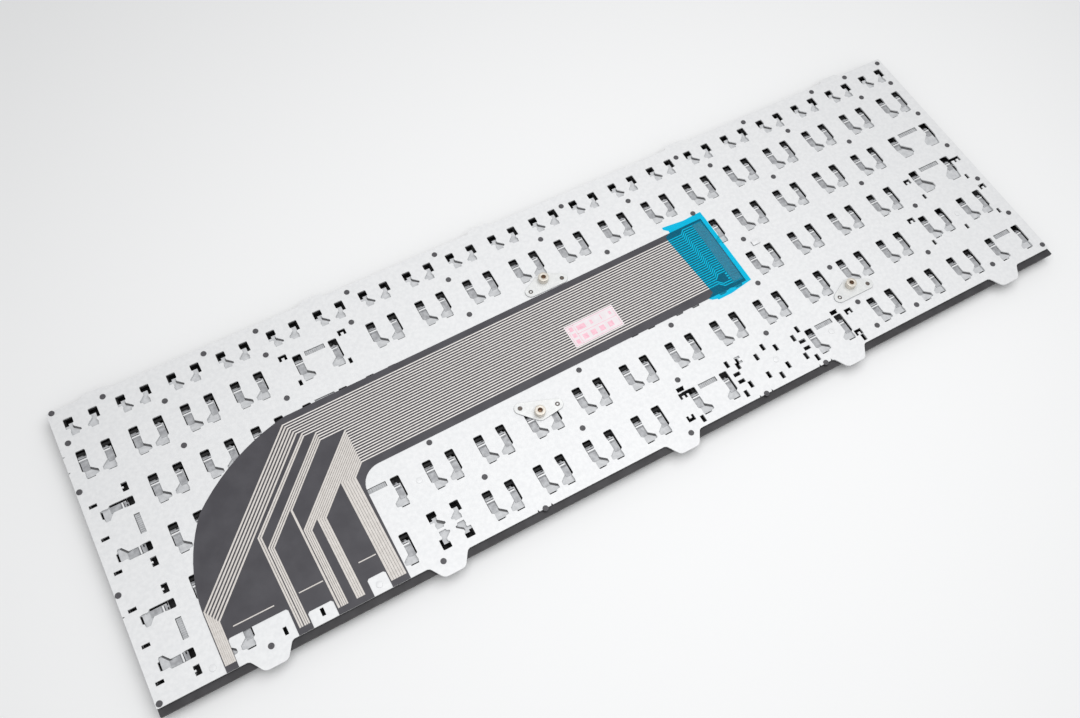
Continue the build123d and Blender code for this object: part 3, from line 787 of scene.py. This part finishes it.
settle(clip_hooks, "plate_steel")
print("hooks:", len(boots + broad_boots))


# %% Ribbed guide bars behind the windows
def guide_bar(length):
    """A flat bar with ribs across it."""
    bar = drawn_sheet("bar", box_outline(0, -0.05, length, 1.7), 4.9, 5.1)
    coat(bar, bar_plastic)
    ribs = []
    for i in range(9):
        rib = drawn_sheet("rib", box_outline((i - 4) * length / 9.5, -0.05, 0.3, 1.7), 5.1, 5.16)
        coat(rib, shade_and_rib_grey)
        ribs.append(rib)
    return joined([bar] + ribs, "guide_bar")


bar_sets = []
for length, slots in ((6.8, windows), (8.6, broad_windows)):
    one_bar = guide_bar(length)
    bar_sets.append(copies(one_bar, [slide(*slot) for slot in slots], "guide_bars"))
    drop(one_bar)
guide_bars = joined(bar_sets, "guide_bars")
settle(guide_bars, "film_clear")
print("guide bars:", len(windows + broad_windows))

# %% [markdown]
# ## Marks pressed into the plate
#
# A few low round marks and one lance stand up from the plate. They are pressed
# from below, so they have soft edges: each is a low drawn disc with a wide bevel.
# Their sloped sides are painted a darker grey as shade.

# %% Round marks and a lance
mark_places = [(18.3, 3.4), (228.7, 9.5), (253.3, 9.5), (328.6, 28.7), (98.1, 27.8), (72.2, 2.8)]
mark = drawn_sheet("mark", arc(0, 0, 1.05, 0, 342, 19), plate_top_z, plate_top_z + 0.09)
round_edges(mark, 0.08, 3, 60)
marks = copies(mark, [slide(x, y) for x, y in mark_places], "marks")
lance = drawn_sheet("lance", box_outline(250.5, 53.8, 3.2, 2.0), plate_top_z, plate_top_z + 0.6)
round_edges(lance, 0.15, 2, 60)
drop(mark)
pressed_marks = joined([marks, lance], "pressed_marks")
pressed_marks.data.materials.append(zinc_steel)
pressed_marks.data.materials.append(shade_and_rib_grey)
# Sloped sides take the darker grey: painted shade.
for face in pressed_marks.data.polygons:
    face.material_index = 0 if face.normal.z > 0.75 else 1
settle(pressed_marks, "plate_steel")
print("marks:", len(mark_places) + 1)

# %% [markdown]
# ## The film tail
#
# The circuit film leaves the membrane in four strips, folds round the near edge
# and lies on the back: a broad quarter turn, then a long slanted run. It is
# drawn flat like the plate. Its four near ends are then spun half a turn about
# the plate's edge, which gives the fold the round back of a bent film.

# %% Outline of the tail
tail_left, tail_right, tail_end, tail_slant = 21.5, 81.7, 237.8, 0.019
tail_windows = [(25.3, 44.5, 9.3), (49.3, 57.6, 5.3), (69.4, 75.6, 6.0)]
window_corner = 0.6


def arc_through(a, b, c, count):
    """Points along the arc from a through b to c."""
    (ax, ay), (bx, by), (cx, cy) = a, b, c
    d = 2 * (ax * (by - cy) + bx * (cy - ay) + cx * (ay - by))
    sa, sb, sc = ax * ax + ay * ay, bx * bx + by * by, cx * cx + cy * cy
    x = (sa * (by - cy) + sb * (cy - ay) + sc * (ay - by)) / d
    y = (sa * (cx - bx) + sb * (ax - cx) + sc * (bx - ax)) / d
    start, end = atan2(ay - y, ax - x), atan2(cy - y, cx - x)
    angles = [start + (end - start) * i / count for i in range(count + 1)]
    return [(x + hypot(ax - x, ay - y) * cos(t), y + hypot(ax - x, ay - y) * sin(t)) for t in angles]


tail_outline = [(tail_left, 0)] + arc_through((tail_left, 20.0), (24.1, 35.0), (32.0, 50.4), 10)
tail_outline += arc_through((32.0, 50.4), (48.3, 62.1), (68.5, 69.2), 10)[1:]
tail_outline += [(tail_end, 69.2 + tail_slant * (tail_end - 68.5)), (tail_end, 41.6)]
tail_outline += arc(89.1, 32.1, 7.4, 90, 180, 8) + [(tail_right, 0)]
for left, right, top in reversed(tail_windows):
    tail_outline += [(right, 0), (right, top - window_corner), (right - window_corner, top)]
    tail_outline += [(left + window_corner, top), (left, top - window_corner), (left, 0)]
tail = drawn_sheet("film_tail", tail_outline, plate_top_z, tail_top_z)
print("tail with", len(tail_outline), "corners")


# %% Fold the near ends round the edge of the plate
def pick_faces(piece, test):
    """Edit mode with the faces selected that pass a test on their middle and normal."""
    activate(piece)
    bpy.ops.object.mode_set(mode="EDIT")
    bpy.ops.mesh.select_mode(type="FACE")
    bpy.ops.mesh.select_all(action="DESELECT")
    bpy.ops.object.mode_set(mode="OBJECT")
    for face in piece.data.polygons:
        face.select = test(face.center, face.normal)
    bpy.ops.object.mode_set(mode="EDIT")


edge_y = spot(0, 0).y
pick_faces(tail, lambda middle, normal: normal.y < -0.9 and abs(middle.y - edge_y) < 0.05 * mm)
bpy.ops.mesh.spin(steps=8, angle=pi, center=(0, edge_y, (plate_z + plate_top_z) / 2 * mm), axis=(1, 0, 0))
pull((0, 1.3 * mm, 0))
bpy.ops.mesh.select_all(action="SELECT")
bpy.ops.mesh.remove_doubles(threshold=1e-6)
bpy.ops.mesh.normals_make_consistent(inside=False)
bpy.ops.object.mode_set(mode="OBJECT")
coat(tail, tail_film)
settle(tail, "film_grey", "circuit_film")
tail_heights = [vertex.co.z / mm for vertex in tail.data.vertices]
print("tail from", min(tail_heights), "to", max(tail_heights))

# %% [markdown]
# ## Printed traces
#
# Twenty-six silver traces run side by side from the connector, turn down at the
# bend in groups and drop to the fold, broader and duller there. Printed ink has
# a real thickness, so each trace is drawn as thin sheets along its run, its
# diagonal and its foot. A striped material would be lighter, but it couldn't
# follow the groups round the bend.

# %% Paths of the traces
trace_count, trace_pitch, top_trace_y, run_width = 26, 0.977, 66.55, 0.38
trace_foot, trace_high, foot_level, run_x = 2.0, tail_top_z + 0.02, 20.0, 70
stub_width, contact_width, rule_y, rule_width = 0.6, 0.96, 12.05, 0.36
# Under the tape the traces step up to their contacts, the last two step down,
# and short stubs fill the gap between
contact_x, contact_end, tape_x = 233.2, 237.3, 222.5
step_up, step_down, last_up = 1.6, -1.75, 23
stub_x, stub_places = 232.4, (47.5, 46.4, 45.3)
# Each group: first trace, where it turns and the step to the next, its foot and the step to the next,
# the slope of its diagonal, how its foot leans, and the widths of diagonal and foot
trace_groups = [
    (0, 66.7, 0.548, 22.05, 0.57, 1.04, 0.0, 0.56, 0.53),
    (6, 71.2, 0.06, 45.37, 0.73, 1.02, tail_slant, 0.54, 0.56),
    (8, 75.35, 0.05, 46.98, 0.65, 1.025, tail_slant, 0.5, 0.5),
    (11, 75.5, 0.0, 58.1, 0.0, 1.025, tail_slant, 0.5, 0.68),
    (12, 84.2, 0.0, 59.01, 0.625, 1.0, tail_slant, 0.57, 0.5),
    (16, 84.2, 0.0, 64.27, 0.73, 1.0, tail_slant, 0.57, 0.64),
    (20, 84.2, 0.0, 76.05, 0.874, 1.0, tail_slant, 0.57, 0.77),
]


def trace_path(number):
    """From the connector along the run, down the diagonal and the foot to the fold; and two widths."""
    group = [g for g in trace_groups if g[0] <= number][-1]
    first, turn, turn_step, foot, foot_step, slope, lean, diagonal_width, foot_width = group
    turn_x = turn + turn_step * (number - first)
    foot_x = foot + foot_step * (number - first)
    run_y = top_trace_y - trace_pitch * number
    turn_y = run_y + tail_slant * (turn_x - run_x)
    knee_x = foot_x + lean * (foot_level - turn_y + slope * (turn_x - foot_x))
    knee_y = turn_y - slope * (turn_x - knee_x)
    tape_y = run_y + tail_slant * (tape_x - run_x)
    aside, step_x = (step_up, 227.3 + 0.043 * number) if number <= last_up else (step_down, 227.9)
    start = [(contact_x, tape_y + aside), (step_x + abs(aside), tape_y + aside), (step_x, tape_y)]
    end = (foot_x + lean * (foot_level - trace_foot), trace_foot)
    return start + [(turn_x, turn_y), (knee_x, knee_y), end], diagonal_width, foot_width


def ribbon(path, width, first, last):
    """Outline of a strip along the runs of a path between two of its corners, mitred at both."""
    points = [Vector(p) for p in path]
    left, right = [], []
    for i, point in enumerate(points):
        before = (point - points[i - 1]).normalized() if i else None
        after = (points[i + 1] - point).normalized() if i + 1 < len(points) else before
        along = ((before or after) + after).normalized()
        across = Vector((-along.y, along.x))
        reach = width / 2 / max(0.3, across.dot(Vector((-after.y, after.x))))
        left.append(tuple(point + across * reach))
        right.append(tuple(point - across * reach))
    return left[first:last + 1] + right[first:last + 1][::-1]


strips, contact_places = [], list(stub_places)


def inked(name, outline, ink):
    """One printed shape on the tail."""
    strips.append(drawn_sheet(name, outline, tail_top_z, trace_high))
    coat(strips[-1], ink)


for number in range(trace_count):
    path, diagonal_width, foot_width = trace_path(number)
    knee = len(path) - 2
    inked("trace", ribbon(path, run_width, 0, knee - 1), trace_silver)
    inked("trace", ribbon(path, diagonal_width, knee - 1, knee), trace_grey)
    inked("trace", ribbon(path, foot_width, knee, knee + 1), trace_grey)
    contact_places.append(path[0][1])
for y in stub_places:
    inked("stub", box_outline((stub_x + contact_x) / 2, y, contact_x - stub_x, stub_width), trace_silver)
for y in contact_places:
    middle, length = (contact_x + contact_end) / 2, contact_end - contact_x
    inked("contact", box_outline(middle, y, length, contact_width), contact_carbon)
for left, right in ((28.1, 41.3), (49.4, 57.4), (69.4, 75.3)):
    inked("rule", box_outline((left + right) / 2, rule_y, right - left, rule_width), trace_grey)
traces = joined(strips, "printed_traces")
settle(traces, "film_grey")
print("traces have", len(traces.data.polygons), "faces")

# %% [markdown]
# ## Blue tape and label
#
# A blue tape covers the connector end. It laps past the tail on both sides with
# torn corners and dips onto the plate there. It is see-through, so its shader
# mixes a tinted Transparent with a glossy blue. A strip of dull film lies over
# the contacts. The label is paper with plain pink fields.

# %% Tape
tape_low_z, tape_high_z, cover_high_z = tail_top_z + 0.03, tail_top_z + 0.1, tail_top_z + 0.13
near_dip, far_dip, dip_x, dip_depth = (40.6, 41.3), (72.2, 73.0), 230, 0.16
tape_outline = [(239.6, 41.0), (239.4, 75.0), (236.9, 75.0), (231.5, 74.6), (222.5, 75.5), (222.4, 74.5),
                (224.0, 73.1), (223.8, 72.2), (221.4, 71.1), (221.3, 69.6), (223.7, 44.4), (223.9, 42.8),
                (221.2, 41.3), (222.2, 40.4), (224.1, 39.9), (224.2, 39.4), (230.0, 39.5)]
tape = drawn_sheet("blue_tape", tape_outline, tape_low_z, tape_high_z)
activate(tape)
bpy.ops.object.mode_set(mode="EDIT")
for y in near_dip + far_dip:
    bpy.ops.mesh.select_all(action="SELECT")
    bpy.ops.mesh.bisect(plane_co=spot(dip_x, y), plane_no=(-tail_slant, 1, 0))
bpy.ops.object.mode_set(mode="OBJECT")
for vertex in tape.data.vertices:
    y = vertex.co.y / mm - plate_near_y - tail_slant * (vertex.co.x / mm - plate_left_x - dip_x)
    if y < sum(near_dip) / 2 or y > sum(far_dip) / 2:
        vertex.co.z -= dip_depth * mm


def see_through(material, tint, share):
    """Mixes a tinted Transparent under a finish, whose share stays."""
    nodes, links = material.node_tree.nodes, material.node_tree.links
    clear = nodes.new("ShaderNodeBsdfTransparent")
    dial(clear, Color=(*tint, 1))
    blend = nodes.new("ShaderNodeMixShader")
    dial(blend, Fac=share)
    links.new(clear.outputs["BSDF"], blend.inputs[1])
    links.new(nodes["Principled BSDF"].outputs["BSDF"], blend.inputs[2])
    links.new(blend.outputs["Shader"], nodes["Material Output"].inputs["Surface"])


tape_blue = mottled("tape_blue", (0.06, 0.42, 0.68), (0.08, 0.48, 0.76), 2.5, (0.16, 0.28), 0.8, 0.02)
see_through(tape_blue, (0.01, 0.913, 1.0), 0.09)
coat(tape, tape_blue)
settle(tape, "tape_blue", "tail_tape")
cover_outline = [(233.2, 71.0), (236.6, 71.0), (237.4, 66.0), (237.6, 55.0), (237.4, 46.0), (236.8, 43.3),
                 (233.4, 43.3)]
cover = drawn_sheet("contact_cover", cover_outline, tape_high_z, cover_high_z)
cover_film = mottled("cover_film", (0.62, 0.50, 0.55), (0.72, 0.60, 0.64), 1.5, (0.4, 0.55), 0.3, 0.01)
see_through(cover_film, (1.0, 1.0, 1.0), 0.05)
coat(cover, cover_film)
settle(cover, "tape_blue")
print("tape has", len(tape.data.polygons), "faces")

# %% Label with plain fields
label_x, label_y, label_turn = 178.2, 50.9, atan(tail_slant)
label_top = tail_top_z + 0.1


def laid_on_label(name, outline, low, high):
    """A sheet drawn about the label's middle and turned with it."""
    sheet = drawn_sheet(name, outline, low, high)
    sheet.data.transform(slide(label_x, label_y, False, label_turn))
    return sheet


label = laid_on_label("label", box_outline(0, 0, 20.0, 9.1), tail_top_z + 0.02, label_top)
coat(label, label_paper)
settle(label, "label_paper", "tail_label")
fields = []
column = [(-8.0, y, 1.5, 1.7) for y in (2.6, -0.1, -2.8)]
upper_row = [(-4.2, 2.0, 3.4, 1.9), (0.0, 2.0, 1.0, 1.6), (4.0, 2.0, 0.35, 1.9), (7.8, 2.0, 0.9, 1.3)]
lower_row = [(x, -2.0, 2.0, 2.1) for x in (-4.6, -1.2, 2.3, 5.9)]
rules = [(1.3, 0, 16.0, 0.18), (0, 4.0, 19.0, 0.18), (0, -4.0, 19.0, 0.18), (-6.6, 0, 0.18, 8.0),
         (-9.4, 0, 0.18, 8.0), (9.4, 0, 0.18, 8.0)]
for x, y, width, depth in column + upper_row + lower_row + rules:
    fields.append(laid_on_label("field", box_outline(x, y, width, depth), label_top, label_top + 0.02))
label_fields = joined(fields, "label_fields")
coat(label_fields, label_pink)
settle(label_fields, "label_paper")
print("label with", len(fields), "fields")

# %% [markdown]
# ## Boss plates and threaded bosses
#
# Three nickel plates are riveted to the back, each with a turned boss that takes
# a screw. The plate's outline is three circles and the lines that touch them.
# The boss is a cylinder whose top is inset and pushed down for the bore.

# %% Boss plates with their rivets
boss_places = [(171.4, 75.9, 0), (144.7, 30.4, 160), (270.8, 21.8, 0)]
ear_x, ear_y, ear_radius, nose_radius = 6.45, -2.4, 2.1, 2.9
boss_seat_z, boss_top_z = plate_top_z + 0.5, plate_top_z + 2.7
hole_low_z, hole_high_z, hole_radius = 5.7, 6.5, 0.8
boss_outline = arc(ear_x, ear_y, ear_radius, -90, 63, 10) + arc(0, 0, nose_radius, 63, 117, 6)
boss_outline += arc(-ear_x, ear_y, ear_radius, 117, 270, 10)
boss_spots = [slide(x, y, False, radians(turn)) for x, y, turn in boss_places]
boss_plate = drawn_sheet("boss_plate", boss_outline, plate_top_z, boss_seat_z)


def ear_disc(name, side, radius, low, high):
    """A round tool or head in the middle of one ear."""
    return drawn_sheet(name, arc(side * ear_x, ear_y, radius, 0, 345, 23), low, high)


ear_holes = [ear_disc("ear_hole", side, hole_radius, hole_low_z, hole_high_z) for side in (-1, 1)]
cut(boss_plate, joined(ear_holes, "ear_holes"))
round_edges(boss_plate, 0.12)
bpy.ops.object.shade_flat()
# Top faces keep the nickel; sides and bevels take the darker grey as painted shade that outlines the plate.
boss_plate.data.materials.append(nickel_steel)
boss_plate.data.materials.append(shade_and_rib_grey)
for face in boss_plate.data.polygons:
    face.material_index = 0 if face.normal.z > 0.6 else 1
rivets = []
# The dark discs show at the floors of the ear holes: painted shade of the hollow rivets' bores.
for side, material, radius, height in ((-1, rivet_hollow_shade, 0.78, 0.22), (1, rivet_hollow_shade, 0.78, 0.22),
                                       (-1, nickel_steel, 0.36, 0.4)):
    rivet = ear_disc("rivet", side, radius, plate_top_z, plate_top_z + height)
    coat(rivet, material)
    rivets.append(rivet)
boss_plate = joined([boss_plate] + rivets, "boss_plate")
boss_plates = copies(boss_plate, boss_spots, "riveted_plates")
drop(boss_plate)
settle(boss_plates, "boss_steel", "boss_plates")
print("boss plates:", len(boss_places))


# %% Bosses with their bore
def turned_boss(name, radius, bore, low, high):
    """A cylinder with a chamfered rim and a bore pushed down from its top."""
    boss = added(name, bpy.ops.mesh.primitive_cylinder_add, vertices=40, radius=radius * mm, depth=(high - low) * mm)
    boss.data.transform(Matrix.Translation(spot(0, 0, (low + high) / 2)))
    pick_faces(boss, lambda middle, normal: normal.z > 0.9)
    bpy.ops.mesh.inset(thickness=(radius - bore) * mm)
    pull((0, 0, (low - high) * 0.97 * mm))
    bpy.ops.object.mode_set(mode="OBJECT")
    round_edges(boss, 0.14)
    return boss


boss_radius, bore_radius = 1.9, 0.85
boss = turned_boss("boss", boss_radius, bore_radius, boss_seat_z, boss_top_z)
boss.data.materials.append(boss_nickel)
boss.data.materials.append(thread_brass)
axis = spot(0, 0)
for face in boss.data.polygons:
    if hypot(face.center.x - axis.x, face.center.y - axis.y) < (bore_radius + 0.05) * mm:
        face.material_index = 1
bosses = copies(boss, boss_spots, "screw_bosses")
drop(boss)
settle(bosses, "boss_steel", "threaded_bosses")
print("bosses reach", round(max(v.co.z for v in bosses.data.vertices) / mm, 2), "mm")

# %% [markdown]
# ## Heat-stake heads
#
# The black frame holds the plate by plastic posts that come up through small
# holes and are melted into heads, the dark dots all over the back. One head is
# a low cylinder with a dimple, copied to each place.

# %% Stake heads
stake_places = [
    (1.6, 105.7), (18.2, 103.9), (53.3, 103.8), (72.2, 103.9), (106.6, 103.8), (141.4, 103.8), (193.5, 101.4),
    (245.2, 101.1), (279.2, 103.8), (313.6, 104.2), (330.8, 104.4), (348.1, 104.4), (3.1, 92.9), (35.7, 92.9),
    (71.8, 93.6), (103.0, 91.9), (141.1, 91.9), (179.3, 91.9), (217.5, 91.9), (255.2, 91.8), (292.9, 92.0),
    (330.6, 92.5), (346.5, 93.2), (1.1, 74.9), (35.7, 74.8), (71.8, 75.1), (141.2, 75.6), (198.5, 75.7),
    (236.6, 75.7), (274.4, 75.9), (312.0, 76.3), (346.5, 75.1), (247.3, 57.1), (303.8, 57.5), (346.7, 56.7),
    (1.1, 37.3), (106.9, 38.2), (164.7, 38.3), (203.0, 38.5), (241.1, 38.6), (316.1, 39.2), (346.9, 38.1),
    (269.1, 31.8), (117.5, 18.8), (154.8, 18.8), (193.3, 19.0), (231.7, 19.9), (306.8, 19.9), (347.0, 19.7),
    (269.4, 14.9), (269.7, 3.7), (288.2, 3.8), (325.5, 4.3), (1.2, 1.2), (35.9, 1.2), (93.0, 0.0),
    (129.9, 0.0), (186.6, 0.0), (218.1, 0.1), (243.9, 0.2), (348.8, 2.2)]


def stake_head():
    """A low round head with a rounded rim and a dimple."""
    head = added("stake_head", bpy.ops.mesh.primitive_cylinder_add, vertices=20, radius=1.0 * mm, depth=0.5 * mm)
    head.data.transform(Matrix.Translation(spot(0, 0, plate_top_z - 0.05)))
    pick_faces(head, lambda middle, normal: normal.z > 0.9)
    bpy.ops.mesh.inset(thickness=0.5 * mm)
    bpy.ops.transform.translate(value=(0, 0, -0.07 * mm))
    bpy.ops.object.mode_set(mode="OBJECT")
    round_edges(head, 0.1)
    return head


one_head = stake_head()
stake_spots = [slide(x, y) for x, y in stake_places]
stake_heads = copies(one_head, stake_spots, "stake_heads")
drop(one_head)
coat(stake_heads, stake_plastic)
settle(stake_heads, "frame_black")
print("stake heads:", len(stake_spots))

# %% [markdown]
# ## The key frame
#
# The frame's solid is already right: a lattice with one opening for each cap and
# a thin flange along the near edge. It keeps its CAD mesh and gets the finish of
# fine matt plastic.

# %% Finish of the frame
coat(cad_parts["key_frame"], frame_plastic)
print("frame finished")

# %% [markdown]
# ## Keycaps
#
# A cap is a shallow tray with drafted sides and a faint dish on its front. One
# is shaped from a box: bevel the four upright edges, inset the front for the
# dish, inset the back and push it in for the hollow. For a wider key the two
# halves of the mesh are moved apart, so that its corners stay the same.

# %% One cap
cap_width, cap_depth, cap_height = key_pitch - cap_gap, row_pitch - cap_gap, 2.6


def pick_edges(piece, test):
    """Edit mode with the edges selected that pass a test on their two ends."""
    activate(piece)
    bpy.ops.object.mode_set(mode="EDIT")
    bpy.ops.mesh.select_mode(type="EDGE")
    bpy.ops.mesh.select_all(action="DESELECT")
    bpy.ops.object.mode_set(mode="OBJECT")
    points = piece.data.vertices
    for edge in piece.data.edges:
        edge.select = test(points[edge.vertices[0]].co, points[edge.vertices[1]].co)
    bpy.ops.object.mode_set(mode="EDIT")


def shaped_cap():
    """A keycap about the middle of the frame, front face down on the table."""
    cap = added("cap", bpy.ops.mesh.primitive_cube_add, size=mm)
    rise = Matrix.Translation((0, 0, cap_height / 2 * mm))
    cap.data.transform(rise @ Matrix.Diagonal((cap_width, cap_depth, cap_height, 1)))
    pick_faces(cap, lambda middle, normal: normal.z < -0.9)
    bpy.ops.transform.resize(value=(1 - 0.7 / cap_width, 1 - 0.7 / cap_depth, 1))
    pick_edges(cap, lambda a, b: abs(a.z - b.z) > mm)
    bpy.ops.mesh.bevel(offset=1.1 * mm, segments=4)
    pick_faces(cap, lambda middle, normal: normal.z < -0.9)
    bpy.ops.mesh.inset(thickness=0.9 * mm)
    bpy.ops.transform.translate(value=(0, 0, 0.1 * mm))
    pick_faces(cap, lambda middle, normal: normal.z > 0.9)
    bpy.ops.mesh.inset(thickness=0.9 * mm)
    pull((0, 0, (cap_floor_z - cap_height) * mm))
    bpy.ops.object.mode_set(mode="OBJECT")
    round_edges(cap, 0.12, 2, 60)
    coat(cap, cap_plastic)
    return cap


cap = shaped_cap()
print("a cap has", len(cap.data.polygons), "faces")


# %% Caps of every key
def cap_for(key):
    """The cap moved to a key, its halves moved apart to the key's size."""
    copy = cap.copy()
    copy.data = cap.data.copy()
    middle = spot(key.x, key.y)
    for vertex in copy.data.vertices:
        spread_x = (key.width - cap_width) / 2 * mm
        spread_y = (key.depth - cap_depth) / 2 * mm
        vertex.co.x += middle.x + (spread_x if vertex.co.x > 0 else -spread_x)
        vertex.co.y += middle.y + (spread_y if vertex.co.y > 0 else -spread_y)
    bpy.context.collection.objects.link(copy)
    return copy


for key in moving_keys:
    moving_cap = cap_for(key)
    moving_cap.name = key.name + "_cap"
    settle(moving_cap, "cap_black", key.name, body=key.name)
for node, row in fixed_rows.items():
    settle(joined([cap_for(key) for key in row], node + "_caps"), "cap_black", node)
drop(cap)
print("caps for", len(all_keys), "keys")

# %% [markdown]
# ## Domes, scissor links and wires
#
# Under each cap stands a rubber dome inside a pair of crossed plastic links. A
# pressed key squeezes them; the set of each moving key is kept as one piece of
# its own. The links are frames: a flat ring cut by an inset, given its
# thickness and tilted about its middle. Wide keys also have a wire.

# %% One dome and one pair of links
gap_middle_z = (cap_floor_z + frame_top_z) / 2


def shaped_dome():
    """A rubber dome: wide foot on the membrane, narrow crown under the cap."""
    height = frame_top_z - cap_floor_z
    dome = added("dome", bpy.ops.mesh.primitive_cone_add, vertices=16, radius1=1.35 * mm, radius2=2.3 * mm,
                 depth=height * mm)
    dome.data.transform(Matrix.Translation(spot(0, 0, gap_middle_z)))
    pick_faces(dome, lambda middle, normal: normal.z > 0.9)
    bpy.ops.mesh.inset(thickness=0.5 * mm)
    pull((0, 0, -2.2 * mm))
    bpy.ops.object.mode_set(mode="OBJECT")
    round_edges(dome, 0.25, 2)
    coat(dome, dome_rubber)
    return dome


def link_frame(width, depth, bar, tilt):
    """A flat ring of plastic, tilted about its middle."""
    link = added("link", bpy.ops.mesh.primitive_plane_add, size=mm)
    link.data.transform(Matrix.Diagonal((width, depth, 1, 1)))
    pick_faces(link, lambda middle, normal: True)
    bpy.ops.mesh.inset(thickness=bar * mm)
    bpy.ops.mesh.delete(type="FACE")
    bpy.ops.object.mode_set(mode="OBJECT")
    apply_modifier(link, "SOLIDIFY", thickness=0.7 * mm, offset=0.0)
    link.data.transform(Matrix.Translation(spot(0, 0, gap_middle_z)) @ Matrix.Rotation(radians(tilt), 4, "X"))
    round_edges(link, 0.12, 1)
    coat(link, link_plastic)
    return link


dome = shaped_dome()
outer_link = link_frame(12.6, 9.0, 1.0, 14)
inner_link = link_frame(10.2, 9.0, 1.2, -14)
links = joined([outer_link, inner_link], "links")
print("dome", len(dome.data.polygons), "faces, links", len(links.data.polygons))


# %% Wires of the wide keys
def bent_wire(key):
    """A wire bent to a U: its bar under the cap, its arms rising to the membrane."""
    tall = key.depth > key.width
    half = max(key.width, key.depth) / 2 - 3.1
    route = [(-half, -3.2, 4.05), (-half, 3.2, 1.45), (half, 3.2, 1.45), (half, -3.2, 4.05)]
    bend = bpy.data.curves.new("wire", "CURVE")
    bend.dimensions = "3D"
    bend.bevel_depth = 0.35 * mm
    bend.bevel_resolution = 1
    bend.use_fill_caps = True
    line = bend.splines.new("POLY")
    line.points.add(len(route) - 1)
    for point, (u, v, z) in zip(line.points, route):
        x, y = (key.x + v, key.y - u) if tall else (key.x + u, key.y + v)
        point.co = (*spot(x, y, z), 1)
    wire = bpy.data.objects.new("wire", bend)
    bpy.context.collection.objects.link(wire)
    activate(wire)
    bpy.ops.object.convert(target="MESH")
    wire = bpy.context.object
    coat(wire, wire_steel)
    return wire


wired = ("backspace", "caps", "shift", "double", "tall", "space")
print(sum(key.clip in wired for key in all_keys), "keys have a wire")


# %% The set under each key
def set_under(key):
    """Copies of the dome and the links, and the wire, under one key."""
    places = [slide(x, key.y) for x in key.dome_places()]
    shallow = key.depth < 12
    squeeze = Matrix.Diagonal((1, 0.62, 1, 1)) if shallow else Matrix.Identity(4)
    home = Matrix.Translation(spot(0, 0))
    fitted = [place @ home @ squeeze @ home.inverted() for place in places]
    pieces = [copies(dome, places, "dome"), copies(links, fitted, "links")]
    if key.clip in wired:
        pieces.append(bent_wire(key))
    return pieces


for key in moving_keys:
    under = joined(set_under(key), key.name + "_dome_and_links")
    settle(under, "dome_rubber", "rubber_domes", *(["stabiliser_wires"] if key.clip in wired else []))
    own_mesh(under)
fixed_set = joined([piece for key in fixed_keys for piece in set_under(key)], "fixed_domes_and_links")
settle(fixed_set, "dome_rubber", "rubber_domes", "stabiliser_wires")
drop(dome, links)
print("fixed set has", len(fixed_set.data.polygons), "faces")
